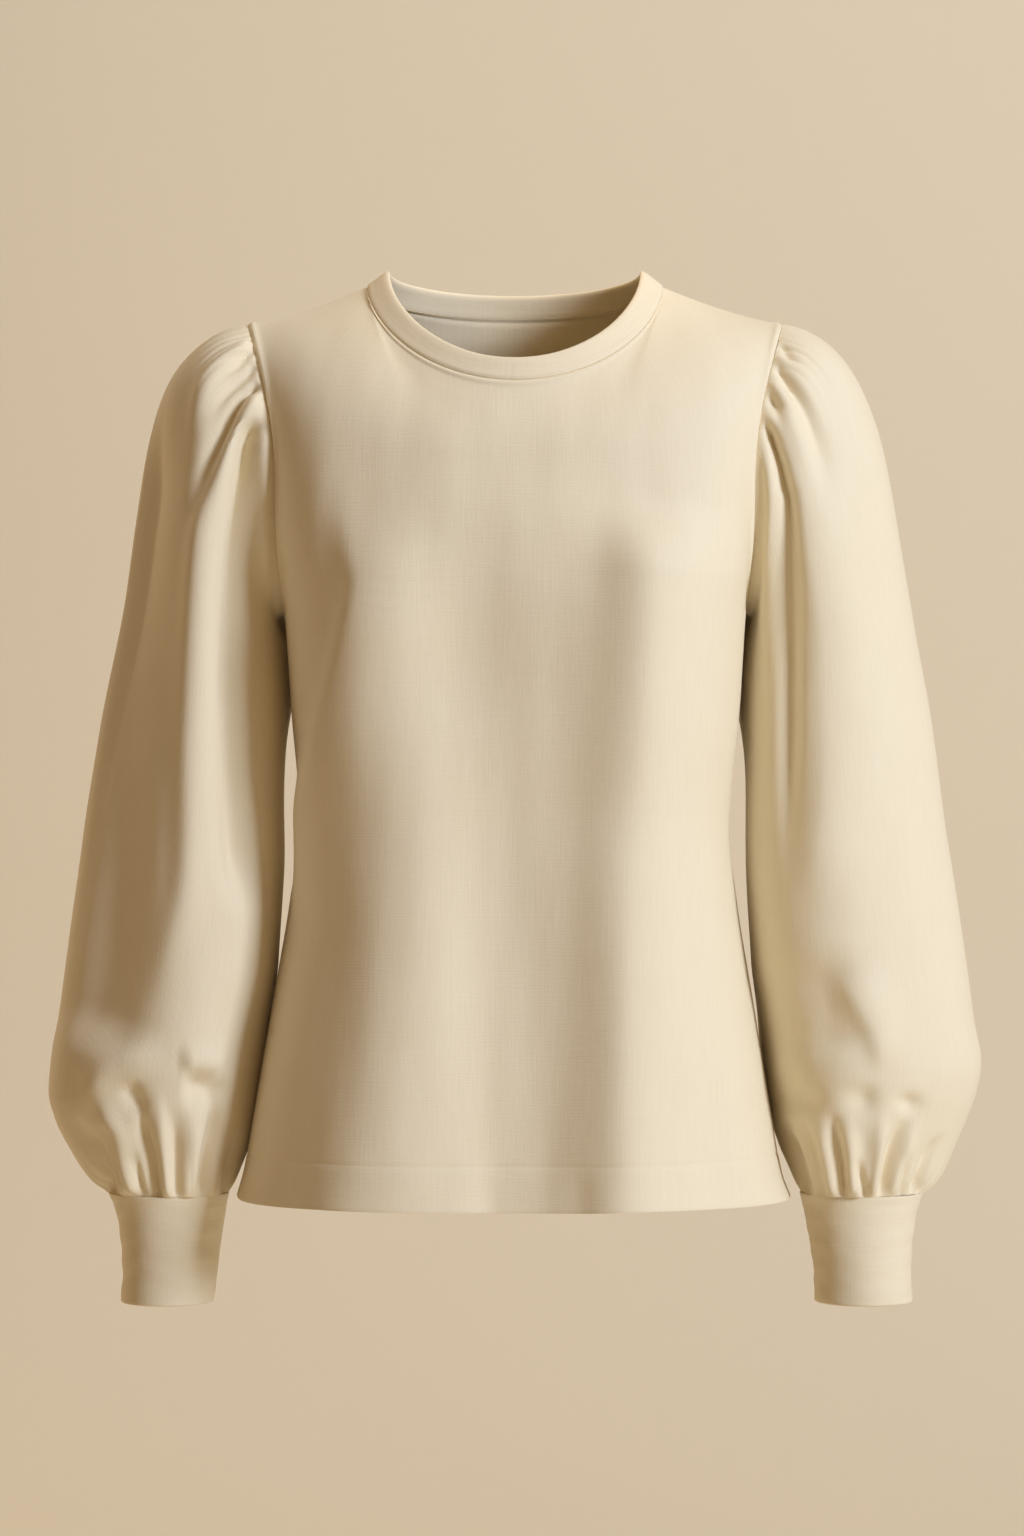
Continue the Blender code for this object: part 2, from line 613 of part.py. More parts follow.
def sleeve_wall(name, side):
    """One sleeve, with more columns of points where it is gathered."""
    rings = sleeve_rings(side)
    loops, faces = tube([places for places, _, _ in rings])
    faces = np.array(faces)[:, ::-SIDES[side]]
    plain = np.concatenate([points for _, points, _ in rings])
    rise = np.concatenate([reach for _, _, reach in rings])
    outward = vertex_normals(plain, faces)
    level = plain[:, 2] <= ARM_LEVELS[0]
    outward[level] = unit(outward[level] * np.array([1, 1, 0]))
    points = plain + outward * rise[:, None]
    normals = vertex_normals(points, faces)
    seam = seam_at(armhole(side), rings[0][0])
    normals[loops[0]] = seam.through
    normals[loops[-1]] = unit(normals[loops[-1]] * np.array([1, 1, 0]))
    half = np.full(len(points), CLOTH / 2)
    add_wall(name, points, normals, faces, [loops[0], loops[-1]], half, CLOTH / 2)


def cuff_wall(name, side):
    """One cuff, a deep double band that narrows to the wrist."""
    around = np.arange(CUFF_COLUMNS) / CUFF_COLUMNS
    angle = 2 * pi * around
    rings = []
    for z in CUFF_LEVELS:
        inner, outer, front, back = (
            blend(CUFF_ROWS, "z", column, z)
            for column in ("inner_" + side, "outer_" + side, "front", "back")
        )
        level = z - SEAM_GAP / 2 if z == CUFF_LEVELS[0] else z
        depth = np.where(np.sin(angle) > 0, front, back)
        x = SIDES[side] * ((inner + outer) / 2 - (outer - inner) / 2 * np.cos(angle))
        rings.append(stacked(x, CUFF_Y - depth * np.sin(angle), level))
    loops, faces = tube([around] * len(rings))
    faces = np.array(faces)[:, ::-SIDES[side]]
    points = np.concatenate(rings)
    normals = unit(vertex_normals(points, faces) * np.array([1, 1, 0]))
    half = np.full(len(points), CUFF_CLOTH / 2)
    add_wall(name, points, normals, faces, [loops[0], loops[-1]], half, CUFF_CLOTH / 2)


def neckband(name):
    """The folded neckband: a strip that stands on the neck seam, with a rounded fold on top."""
    u = panel_columns()
    u = u[np.abs(u) < NECK_SHARE + 1e-6]
    angle = np.concatenate([neck_angle(True, u), neck_angle(False, u[1:-1])[::-1]])
    seam, across, through = neck_seam(angle)
    top = neck_curve(NECK_TOP, angle)
    low = seam + across * SEAM_GAP / 2
    rise = top - low
    tangent = neck_curve(NECK_TOP, angle + 0.02) - neck_curve(NECK_TOP, angle - 0.02)
    facing = unit(np.cross(rise, tangent))
    facing = facing * np.sign((facing * through).sum(-1, keepdims=True))
    half = BAND_CLOTH / 2
    profile = np.stack(
        [
            low + through * CLOTH / 2,
            low + rise * 0.12 + facing * half,
            low + rise * 0.5 + facing * (half + 0.2),
            top - rise * 0.09 + facing * half,
            top + rise * 0.02 + facing * half * 0.45,
            top + rise * 0.02 - facing * half * 0.45,
            top - rise * 0.09 - facing * half,
            low + rise * 0.5 - facing * half,
            low + rise * 0.12 - facing * half,
            low - through * CLOTH / 2,
        ],
        axis=1,
    )
    index = np.arange(profile.shape[0] * profile.shape[1]).reshape(profile.shape[:2])
    turned, wound = np.roll(index, -1, axis=0), np.roll(index, -1, axis=1)
    faces = np.stack([index, turned, np.roll(turned, -1, axis=1), wound], -1).reshape(-1, 4)
    add_object(name, profile.reshape(-1, 3), faces)


# Walls


def vertex_normals(points, faces):
    """The mean direction of the faces round each point, by their area."""
    faces = np.asarray(faces)
    first = points[faces[:, 2]] - points[faces[:, 0]]
    second = points[faces[:, -1]] - points[faces[:, 1]]
    flat = np.cross(first, second)
    normals = np.zeros_like(points)
    for k in range(faces.shape[1]):
        np.add.at(normals, faces[:, k], flat)
    return unit(normals)


def add_wall(name, points, normals, faces, loops, inside, outside):
    """A sheet's middle surface made a closed wall, inside and outside it by these distances."""
    count = len(points)
    outer = points + normals * outside
    inner = points - normals * np.asarray(inside)[:, None]
    walls = [tuple(face) for face in faces]
    walls += [tuple(count + i for i in reversed(face)) for face in walls]
    for loop in loops:
        for a, b in zip(loop, [*loop[1:], loop[0]]):
            walls.append((a, b, count + b, count + a))
    add_object(name, np.concatenate([outer, inner]), walls)


def add_object(name, points, faces):
    """One closed mesh object, with its faces turned outwards and its folds shaded smooth."""
    mesh = bpy.data.meshes.new(name)
    body = bmesh.new()
    verts = [body.verts.new(point * MM) for point in points]
    for face in faces:
        body.faces.new([verts[i] for i in face])
    bmesh.ops.recalc_face_normals(body, faces=body.faces)
    body.to_mesh(mesh)
    body.free()
    mesh.shade_smooth()
    mesh.set_sharp_from_angle(angle=radians(50))
    mesh.materials.append(cloth_material(name + "_cloth"))
    bpy.context.scene.collection.objects.link(bpy.data.objects.new(name, mesh))


def cloth_material(name):
    """Plain cream cloth with a soft, dull surface."""
    material = bpy.data.materials.new(name)
    material.use_nodes = True
    shader = material.node_tree.nodes["Principled BSDF"]
    shader.inputs["Base Color"].default_value = CREAM
    shader.inputs["Roughness"].default_value = 0.75
    shader.inputs["Metallic"].default_value = 0.0
    return material


def main():
    for obj in list(bpy.data.objects):
        bpy.data.objects.remove(obj)
    panel_wall("front", True)
    panel_wall("back", False)
    neckband("neckband")
    for side in SIDES:
        sleeve_wall("sleeve_" + side, side)
        cuff_wall("cuff_" + side, side)


main()
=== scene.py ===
"""The blouse's cloth, seams, light and camera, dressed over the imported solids.

Lengths in the tables are millimetres, and MM turns them into metres. +X is the wearer's left,
-Y the front and +Z up, as in the frame.
"""

from collections import namedtuple
from functools import lru_cache
from math import pi, radians

import bmesh
import bpy
import numpy as np
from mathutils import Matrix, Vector


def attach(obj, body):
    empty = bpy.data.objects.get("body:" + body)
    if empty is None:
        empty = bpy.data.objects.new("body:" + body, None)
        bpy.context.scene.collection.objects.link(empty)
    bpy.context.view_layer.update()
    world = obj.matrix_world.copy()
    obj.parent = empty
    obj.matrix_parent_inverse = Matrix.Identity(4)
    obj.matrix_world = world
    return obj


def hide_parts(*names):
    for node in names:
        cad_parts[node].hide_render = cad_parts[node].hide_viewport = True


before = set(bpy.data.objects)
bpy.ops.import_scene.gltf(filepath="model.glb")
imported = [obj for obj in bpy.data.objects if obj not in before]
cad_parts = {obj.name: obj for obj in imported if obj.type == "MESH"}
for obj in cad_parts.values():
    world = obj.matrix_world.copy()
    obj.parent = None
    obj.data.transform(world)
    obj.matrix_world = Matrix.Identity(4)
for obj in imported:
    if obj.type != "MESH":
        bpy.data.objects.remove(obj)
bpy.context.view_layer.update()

MM = 0.001
CLOTH = 1.1  # thickness of a single layer
HEM_CLOTH = 2.1  # and of the turned-up hem
BAND_CLOTH = 3.2
CUFF_CLOTH = 2.2
SEAM_GAP = 0.12
HEM_DEPTH = 29.0
SLEEVE_GIRTH = 440.0  # round figures that lay out the weave and the seam under the arm
CUFF_GIRTH = 200.0
ARM_SEAM = 0.5  # how deep that seam lies, and its half width
ARM_SEAM_WIDTH = 1.4
CUFF_SEAM_WIDTH = 1.3
SHARP = 45.0  # degrees between two faces over which their edge is shaded sharp
SIDES = {"left": 1, "right": -1}


def rows_of(kind, *rows):
    """A table. kind is its columns' names, or a named tuple that several tables share."""
    if isinstance(kind, str):
        kind = namedtuple("Row", kind)
    return tuple(kind(*row) for row in rows)


# Driving sizes of the body.
HEM_Z = -601.0
UNDERARM_Z = -222.0
YOKE_Z = -125.0  # above this height the panels curve over the shoulders
SHOULDER_POINT = np.array([173.5, 4.0, -34.5])
NECK_POINT = np.array([95.5, 1.0, -10.0])
NECK_SHARE = 0.5  # the share of a panel's half width that ends on the neckline

# Half of the neck seam, and of the neckband's top edge, at the centre front, side and back.
NeckCurve = namedtuple("NeckCurve", "half_width front_y back_y side_y front_z back_z side_z")
NECK_SEAM = NeckCurve(95.5, -84.0, 64.0, 1.0, -77.0, -24.0, -10.0)
NECK_TOP = NeckCurve(81.5, -77.5, 60.5, 1.0, -62.5, -9.5, 0.0)
NECK_SCOOP = 1.15  # above 1, the front neckline is more pointed than a plain ellipse

# Level sections of the body. Above the underarm the armholes cut off the sides of each section.
# square is how much fuller than an ellipse the section is at its corners.
BODY_ROWS = rows_of("name z half_width back_half_width centre_x front_y back_y side_y square",
    ("hem", HEM_Z, 179.2, 179.2, -1, -117, 112, 2, 0.10),
    ("hem_fold", -585, 174, 174, -1.7, -116, 111.5, 2, 0.10),
    ("low_hip", -545, 167, 167, -1.6, -114, 109, 2, 0.10),
    ("hip", -486, 157.5, 157.5, -1.3, -110, 105, 2, 0.10),
    ("high_hip", -410, 144.5, 144.5, -1.3, -104, 97, 2.5, 0.10),
    ("waist", -359, 138.5, 138.5, -0.9, -102, 91, 3, 0.10),
    ("ribs", -291, 144, 144, 0, -109, 96, 3.5, 0.13),
    ("underarm", UNDERARM_Z, 149, 149, 0, -112, 101, 4, 0.18),
    ("chest", -174, 156.8, 159, 0, -108, 103, 4, 0.23),
    ("yoke", YOKE_Z, 162, 166, 0, -100, 101, 4, 0.26),
)
ARMHOLE_FRONT_Y = -54.0  # how far the armhole's edges have parted from the side at the yoke
ARMHOLE_BACK_Y = 50.0
ARMHOLE_CURVE = 1.4  # the higher, the broader the bottom of the armhole

# Degrees above the level at which a panel reaches the neck seam and the shoulder seam.
TILT_FRONT = 66.0
TILT_BACK = 82.0
TILT_SIDE_FRONT = 34.0
TILT_SIDE_BACK = 4.0
TILT_SHOULDER = 6.0
NECK_SLOPE = 0.3
FRONT_SLOPE = 1.5
BACK_SLOPE = 1.0

# Level sections of a sleeve, from the one just under the armhole down to the cuff seam. inner is
# the distance of its body side from the centre line of the blouse.
SLEEVE_ROWS = rows_of("name z inner outer_left outer_right mid_y front back",
    ("upper_arm", -240, 155, 261, 260, 4, 57, 50),
    ("mid_arm", -291, 152, 270, 269.5, 5, 60, 54),
    ("elbow", -369, 151, 282, 282, 7, 63, 58),
    ("forearm", -447, 156, 293, 293.5, 9, 66, 62),
    ("full", -486, 163.5, 298.5, 299, 10, 67, 63),
    ("fullest", -515, 168, 303.5, 302.5, 11, 67, 63),
    ("droop", -533, 170.5, 300.5, 303.5, 11, 64.5, 60.5),
    ("turn", -549, 172.5, 294.5, 299.5, 11, 60, 57),
    ("gathers", -570, 177, 285, 289, 10, 52, 49),
    ("over_cuff", -588, 182.5, 276, 276.5, 8, 43.5, 41),
    ("cuff_seam", -598.6, 186.9, 265.5, 265, 6, 37, 36),
)
FRONT_LEAN = {"left": 0.24, "right": 0.14}  # how far a section bulges towards the body side

# Heights at which the inner back of a sleeve is pushed towards the body, hiding the gap.
TUCKS = rows_of("z amount spread turn", (-251, 17, 52, 0.65), (-528, 10, 60, 0.45))
TUCK_FADE = 30.0  # a tuck is gone at the cuff seam, and whole this far above it

CUFF_ROWS = rows_of("name z inner_left outer_left inner_right outer_right front back",
    ("top", -598.6, 186.6, 264.3, 187.4, 263.4, 36.5, 35.5),
    ("upper", -613, 189.6, 260.2, 190, 258.4, 34.5, 33.5),
    ("middle", -634, 193.6, 257.5, 193.4, 255.6, 33, 32),
    ("lower", -653, 196.2, 256.8, 195.7, 254.8, 32, 31.5),
    ("edge", -669.5, 196.4, 258, 197.5, 256.1, 32, 31.5),
)
CUFF_Y = 6.0

# Where columns of the sleeve meet the armhole: around is 0 at the underarm and 0.5 at the
# shoulder, and share is the part of that half of the armhole passed.
SHARE_ROWS = rows_of("around share",
    (0, 0), (0.1, 0.31), (0.2, 0.60), (0.3, 0.79), (0.4, 0.905), (0.5, 1),
)

# How the sleeve leaves the armhole, and how it falls into its first level section.
CAP_ROWS = rows_of("name around out forward up reach arrive",
    ("underarm", 0, 0.97, 0, -0.22, 9, 9),
    ("front_low", 0.1, 0.95, 0.12, 0.05, 16, 22),
    ("front_notch", 0.2, 0.92, 0.32, 0.05, 30, 60),
    ("front_cap", 0.35, 0.93, 0.33, -0.05, 46, 105),
    ("shoulder", 0.5, 0.98, 0, -0.17, 60, 134),
    ("back_cap", 0.65, 0.93, -0.33, -0.05, 46, 105),
    ("back_notch", 0.8, 0.92, -0.30, 0.05, 30, 60),
    ("back_low", 0.9, 0.95, -0.12, 0.05, 16, 22),
    ("underarm_again", 1, 0.97, 0, -0.22, 9, 9),
)

# How much further each head puffs out, and how much sooner it turns down.
PUFF = {"left": 1.05, "right": 1.23}
FALL = {"left": 0.97, "right": 0.82}


# Folds. Each follows points of the front view, X and Z in turn from its top down, and is a ridge
# where its height is above 0 and a trough where it is below. before and after are its widths on
# the -X and +X sides, start and end the shares of its length over which it fades in and out, and
# pinched is how narrow it is at its start. A fold that runs off its piece hardly fades out.
Fold = namedtuple("Fold", "name path before after height start end pinched", defaults=(0.01, 1.0))
WIDENING = 0.4  # the share of its length over which a pinched fold widens
FRONT_FOLDS = rows_of(Fold,
    ("right_drape", (-106, -150, -99, -190, -96, -211, -103, -248, -113, -286, -122, -324,
      -131, -370, -137, -440), 13, 36, 12, 0.3, 0.35),
    ("right_main", (-78, -250, -72, -330, -74, -400, -86, -500, -102, -590, -110, -650), 35, 46,
     10.5, 0.25),
    ("middle", (-26, -150, -22, -300, -14, -450, -6, -650), 34, 50, -9.5, 0.25),
    ("left_main", (86, -150, 84, -205, 75, -330, 68, -450, 67, -650), 28, 46, 18, 0.1),
    ("hem_dent_a", (36, -560, 40, -585, 42, -620), 7, 7, -1.4, 0.5),
    ("hem_dent_b", (-18, -572, -16, -590, -15, -620), 6, 6, -0.9, 0.5),
    ("left_armhole", (118, -110, 112, -160, 92, -205), 20, 20, 1.2, 0.4, 0.6),
    ("right_armhole", (-118, -110, -112, -160, -98, -205), 20, 20, 1.2, 0.4, 0.6),
)
BACK_FOLDS = rows_of(Fold,
    ("right_blade", (-66, -200, -78, -400, -98, -640), 25, 30, 8, 0.45),
    ("right_trough", (-40, -290, -44, -450, -52, -640), 19, 19, -3.2, 0.5),
    ("right_side_trough", (-106, -270, -118, -440, -134, -640), 17, 17, -3, 0.4),
    ("centre", (4, -300, 2, -460, 2, -640), 24, 24, 5, 0.5),
    ("left_trough", (42, -290, 46, -450, 50, -640), 18, 18, -3, 0.5),
    ("left_blade", (70, -200, 80, -400, 94, -640), 32, 26, 8, 0.45),
    ("left_side_trough", (108, -280, 120, -440, 132, -640), 18, 18, -2.6, 0.4),
    ("left_shoulder", (110, -70, 100, -130, 84, -210), 24, 24, 1.6, 0.4, 0.6),
    ("right_shoulder", (-112, -74, -102, -132, -88, -205), 23, 23, 1.6, 0.4, 0.6),
    ("small_of_back", (-46, -352, 0, -360, 48, -350), 11, 11, -1.6, 0.4, 0.4),
)
SLEEVE_FRONT = {}
SLEEVE_FRONT["right"] = rows_of(Fold,
    ("head", (-167, -52, -184, -67, -199, -84), 5, 5, -3.8, 0.05, 0.7, 0.5),
    ("ridge", (-168, -48, -184, -60, -199, -82, -208, -133), 8, 8, 4.6, 0.05, 0.6, 0.4),
    ("head", (-165, -64, -186, -82, -203, -104), 5, 6, -5.2, 0.05, 0.7, 0.5),
    ("head", (-162, -76, -175, -88, -190, -118, -199, -143, -207, -172), 7, 6, -8.5, 0.04, 0.6,
     0.45),
    ("strip", (-161, -80, -171, -92, -182, -115, -191, -138, -199, -160, -204, -200, -208, -300,
      -209, -387, -219, -438, -226, -480), 10, 13, 5.5, 0.03, 0.25, 0.45),
    ("head", (-162, -99, -171, -108, -175, -128, -179, -190, -181, -300, -174, -420), 10, 13, -12,
     0.04, 0.15, 0.45),
    ("ridge", (-159, -101, -161, -131, -160, -190, -159, -240), 4, 4, 3.2, 0.1, 0.5),
    ("outer_plane", (-222, -58, -240, -120, -250, -200, -257, -290, -263, -390, -270, -460,
      -284, -508), 24, 34, -15, 0.22, 0.08),
    ("lobe", (-272, -545, -269, -527, -258, -513, -240, -506, -220, -504), 9, 10, 4, 0.3, 0.4),
    ("lobe_shade", (-250, -521, -245, -533, -238, -546), 7, 8, -5.5, 0.4, 0.4),
    ("band", (-216, -510, -200, -510, -184, -514), 7, 9, 4.5, 0.3, 0.3),
    ("band_shade", (-214, -526, -200, -527, -184, -536), 10, 8, -7, 0.3, 0.3),
    ("valley", (-284, -543, -275, -559, -268, -572, -259, -606), 6, 5, -7, 0.4),
    ("valley", (-246, -564, -243, -578, -239, -606), 2.6, 2.6, -3, 0.6),
    ("valley", (-240, -530, -239, -547, -236, -560, -232, -573, -228, -606), 5, 4, -6, 0.4),
    ("valley", (-217, -536, -217, -572, -217, -606), 4, 5, -3.8, 0.5),
    ("valley", (-192, -528, -192, -546, -194, -559, -198, -572, -204, -606), 5, 4, -7, 0.35),
    ("valley", (-178, -552, -190, -606), 3.5, 3.5, -5, 0.5),
    ("crest", (-266, -528, -261, -545, -253, -560, -247, -606), 7, 6, 4.6, 0.3),
    ("crest", (-229, -526, -226, -553, -223, -606), 5, 4, 4, 0.4),
    ("crest", (-206, -533, -207, -560, -211, -606), 8, 7, 4.5, 0.4),
)
SLEEVE_FRONT["left"] = rows_of(Fold,
    ("head", (168, -46, 175, -58, 185, -72), 4, 4, -3.4, 0.05, 0.7, 0.5),
    ("ridge", (167, -56, 180, -68, 192, -92, 202, -124), 7, 7, 2.4, 0.05, 0.6, 0.4),
    ("head", (165, -64, 175, -77, 187, -100, 195, -124, 202, -160), 6, 7, -4.2, 0.05, 0.6, 0.4),
    ("ridge", (163, -74, 172, -86, 182, -112, 189, -145), 6, 6, 2.8, 0.05, 0.6, 0.4),
    ("head", (160, -82, 167, -94, 172, -112), 3.5, 4, -3.2, 0.1, 0.6, 0.6),
    ("main", (162, -90, 170, -110, 179, -134, 184, -158, 188, -184, 194, -215, 198, -250, 199, -336,
      193, -387, 190, -419), 12, 28, 3.6, 0.04, 0.15, 0.4),
    ("head", (159, -99, 167, -124, 171, -143, 174, -165, 174, -300, 174, -406), 5, 8, -7.5, 0.04,
     0.4, 0.5),
    ("ridge", (158, -113, 164, -143, 164, -190, 162, -280), 4, 4, 4, 0.15, 0.5),
    ("dimple", (184, -436, 195, -472, 203, -512), 24, 21, -8, 0.35, 0.25),
    ("dimple_edge", (205, -452, 216, -468, 228, -488, 234, -505, 235, -522), 8, 18, 4.5, 0.3, 0.3),
    ("shade", (180, -524, 188, -550), 11, 11, -4.2, 0.5, 0.5),
    ("shade", (222, -520, 223, -550), 11, 9, -5, 0.5, 0.5),
    ("shade", (256, -528, 251, -548), 9, 8, -5, 0.5, 0.5),
    ("valley", (171, -546, 175, -559, 182, -577, 191, -606), 4, 4, -5.5, 0.4),
    ("valley", (184, -543, 187, -558, 193, -577, 200, -606), 4, 4, -5.5, 0.4),
    ("valley", (201, -537, 205, -559, 209, -578, 212, -606), 4, 4, -4.6, 0.4),
    ("valley", (218, -568, 226, -606), 3, 3, -4.6, 0.5),
    ("valley", (258, -540, 248, -554, 239, -575, 234, -606), 4, 5, -5.5, 0.4),
    ("valley", (254, -566, 245, -606), 3, 3, -4.8, 0.5),
    ("valley", (278, -556, 267, -572, 255, -606), 4, 4, -5.5, 0.4),
    ("crest", (194, -543, 206, -606), 5, 4.5, 3.8, 0.4),
    ("crest", (211, -538, 220, -606), 5.5, 5, 4, 0.4),
    ("crest", (236, -536, 229, -606), 5.5, 5, 4.2, 0.4),
    ("crest", (257, -545, 241, -606), 5, 5, 4, 0.4),
)
SLEEVE_BACK = {}
SLEEVE_BACK["right"] = rows_of(Fold,
    ("ridge", (-171, -48, -190, -90, -200, -160), 8, 8, 3, 0.05, 0.6, 0.4),
    ("head", (-167, -64, -184, -104, -200, -176), 6, 6, -3.6, 0.05, 0.6, 0.5),
    ("ridge", (-165, -70, -180, -112, -196, -200), 9, 9, 4.4, 0.05, 0.6, 0.4),
    ("ridge", (-161, -98, -170, -150, -180, -240), 9, 9, 4, 0.05, 0.6, 0.4),
    ("strip", (-196, -160, -200, -300, -184, -470), 18, 18, 5.6, 0.35, 0.4),
    ("outer_trough", (-226, -120, -238, -270, -242, -430), 20, 20, -4, 0.4, 0.4),
    ("elbow", (-262, -330, -236, -352, -206, -356), 13, 13, -2.8, 0.4, 0.4),
    ("dimple", (-240, -462, -222, -490, -204, -510), 13, 13, -4, 0.35, 0.35),
)
SLEEVE_BACK["left"] = rows_of(Fold,
    ("ridge", (171, -50, 188, -92, 203, -160), 8, 8, 3, 0.05, 0.6, 0.4),
    ("head", (168, -66, 186, -108, 199, -180), 6, 6, -3.6, 0.05, 0.6, 0.5),
    ("ridge", (165, -74, 181, -118, 192, -205), 9, 9, 4.2, 0.05, 0.6, 0.4),
    ("ridge", (160, -102, 169, -155, 178, -250), 9, 9, 4, 0.05, 0.6, 0.4),
    ("strip", (194, -165, 201, -310, 187, -480), 18, 18, 5.2, 0.35, 0.4),
    ("outer_trough", (224, -130, 240, -280, 246, -430), 20, 20, -3.6, 0.4, 0.4),
    ("elbow", (258, -318, 234, -344, 208, -350), 13, 13, -2.6, 0.4, 0.4),
    ("dimple", (236, -458, 220, -484, 206, -508), 13, 13, -3.6, 0.35, 0.35),
)

# Gathers, each a crest: its place round the sleeve, how far it runs from its seam, its height.
Gather = namedtuple("Gather", "around length height")
CAP_GATHERS = {}
CAP_GATHERS["left"] = rows_of(Gather,
    (0.176, 34, 1.6), (0.212, 46, 2.6), (0.246, 60, 3.6), (0.276, 48, 3.8), (0.306, 70, 4.2),
    (0.331, 40, 3.4), (0.357, 64, 4.2), (0.386, 44, 3.4), (0.412, 58, 3.8), (0.441, 36, 3),
    (0.468, 46, 3.2), (0.497, 34, 2.8), (0.527, 48, 3), (0.556, 36, 3), (0.586, 56, 3.4),
    (0.614, 40, 3.2), (0.643, 66, 3.8), (0.669, 42, 3.4), (0.697, 70, 4), (0.727, 46, 3.4),
    (0.757, 58, 3.4), (0.791, 44, 2.6), (0.826, 32, 1.6),
)
CAP_GATHERS["right"] = rows_of(Gather,
    (0.178, 32, 1.6), (0.214, 50, 2.6), (0.250, 66, 3.8), (0.285, 54, 4.2), (0.312, 44, 3.8),
    (0.334, 70, 4.2), (0.356, 42, 3.6), (0.382, 66, 4.2), (0.410, 44, 3.6), (0.440, 54, 3.8),
    (0.470, 38, 3), (0.500, 42, 2.8), (0.529, 36, 3), (0.559, 52, 3.2), (0.588, 38, 3.2),
    (0.617, 60, 3.8), (0.645, 42, 3.4), (0.674, 68, 4), (0.703, 44, 3.4), (0.733, 60, 3.6),
    (0.764, 48, 3), (0.798, 40, 2.2), (0.830, 30, 1.5),
)
CUFF_GATHERS = {}
CUFF_GATHERS["left"] = rows_of(Gather,
    (0.022, 34, 3), (0.070, 40, 3.6), (0.122, 46, 4.6), (0.164, 40, 4.4), (0.200, 50, 4.6),
    (0.229, 34, 3.8), (0.256, 54, 4.8), (0.291, 62, 5), (0.324, 38, 4), (0.355, 52, 4.6),
    (0.395, 44, 4.2), (0.440, 40, 3.8), (0.486, 46, 4), (0.530, 36, 3.6), (0.574, 50, 4.2),
    (0.616, 38, 3.8), (0.660, 56, 4.8), (0.702, 40, 4), (0.744, 60, 4.8), (0.788, 42, 4.2),
    (0.832, 50, 4.4), (0.880, 38, 3.6), (0.930, 44, 3.6), (0.978, 34, 3),
)
CUFF_GATHERS["right"] = rows_of(Gather,
    (0.020, 36, 3.2), (0.072, 44, 4.2), (0.122, 62, 5.2), (0.161, 52, 4.2), (0.197, 66, 4.8),
    (0.239, 72, 5), (0.275, 40, 4), (0.310, 60, 4.8), (0.338, 34, 3.4), (0.366, 44, 4),
    (0.402, 50, 4.2), (0.444, 38, 3.8), (0.488, 46, 4.2), (0.534, 36, 3.8), (0.580, 52, 4.4),
    (0.622, 40, 3.8), (0.664, 58, 4.8), (0.708, 42, 4), (0.750, 62, 4.8), (0.794, 40, 4.2),
    (0.838, 52, 4.4), (0.886, 36, 3.6), (0.934, 46, 3.8), (0.978, 34, 3.2),
)
CAP_RISE = 7.0  # distance from the armhole over which a gather reaches its height
CUFF_RISE = 9.0
CAP_START = 0.25  # the share of its height that it has at the armhole already
GATHER_MARGIN = 0.045  # how far beyond the last gathers of a head the cloth is flat
SOFTENED = 0.65  # how much lower the gathers are at the front, where they show as folds

# Faint swells of a cloth that never hangs quite flat.
SWELLS = rows_of("length height", (148, 0.8), (97, 0.5), (66, 0.28), (41, 0.1))

# Rows and columns of points. The steps beside a seam are finer, so that it can be shaped.
EDGE_STEPS = (0.0, 0.0035, 0.007, 0.0105, 0.014, 0.018, 0.023, 0.030, 0.040)
HEM_STEPS = (
    0.0, 0.7, 1.6, 3.0, 6.0, 10.5, 15.0, 19.5, 23.5, 26.0, 27.3, 28.2, 29.0, 29.8, 30.7, 32.0, 34.0,
)
CUFF_TOP_STEPS = (0, 0.6, 1.3, 2.1, 3.0, 4.0, 5.4, 7.2)
CUFF_EDGE_STEPS = (3.0, 2.2, 1.5, 0.9, 0.4, 0.0)
CUFF_LEVELS = 33
SMOOTHINGS = 30  # passes that even out the crease below each end of the neckline
BODY_COLUMNS = 138
SIDE_ROWS = 96
ARMHOLE_ROWS = 36
YOKE_ROWS = 44
SLEEVE_COLUMNS = 280
CAP_ROWS_FINE = 46
ARM_ROWS = 104
CUFF_COLUMNS = 160
NECK_COLUMNS = 240


def unit(vectors):
    """The vectors, of one or many rows, made one long."""
    return vectors / np.maximum(np.linalg.norm(vectors, axis=-1, keepdims=True), 1e-9)


def ease(at):
    """Rises smoothly from 0 to 1 as at does."""
    t = np.clip(at, 0.0, 1.0)
    return t * t * (3 - 2 * t)


def swift(at):
    """Rises from 0 to 1 as at does, fastest at its start."""
    return 1 - (1 - np.clip(at, 0.0, 1.0)) ** 2


def bell(away, width):
    """1 at no distance, falling off on both sides."""
    return np.exp(-((away / width) ** 2))


def blend(rows, key, column, at):
    """A table's column at places along its key, on a smooth curve that never overshoots."""
    rows = sorted(rows, key=lambda row: getattr(row, key))
    places = np.array([getattr(row, key) for row in rows], float)
    values = np.array([getattr(row, column) for row in rows], float)
    step = np.diff(places)
    rise = np.diff(values) / step
    slopes = np.zeros(len(places))
    same = rise[:-1] * rise[1:] > 0
    slopes[1:-1][same] = 2 / (1 / rise[:-1][same] + 1 / rise[1:][same])
    slopes[0], slopes[-1] = rise[0], rise[-1]
    at = np.clip(np.asarray(at, float), places[0], places[-1])
    i = np.clip(np.searchsorted(places, at, side="right") - 1, 0, len(places) - 2)
    t = (at - places[i]) / step[i]
    return (
        values[i] * (1 + 2 * t) * (1 - t) ** 2
        + slopes[i] * step[i] * t * (1 - t) ** 2
        + values[i + 1] * (3 - 2 * t) * t**2
        - slopes[i + 1] * step[i] * (1 - t) * t**2
    )


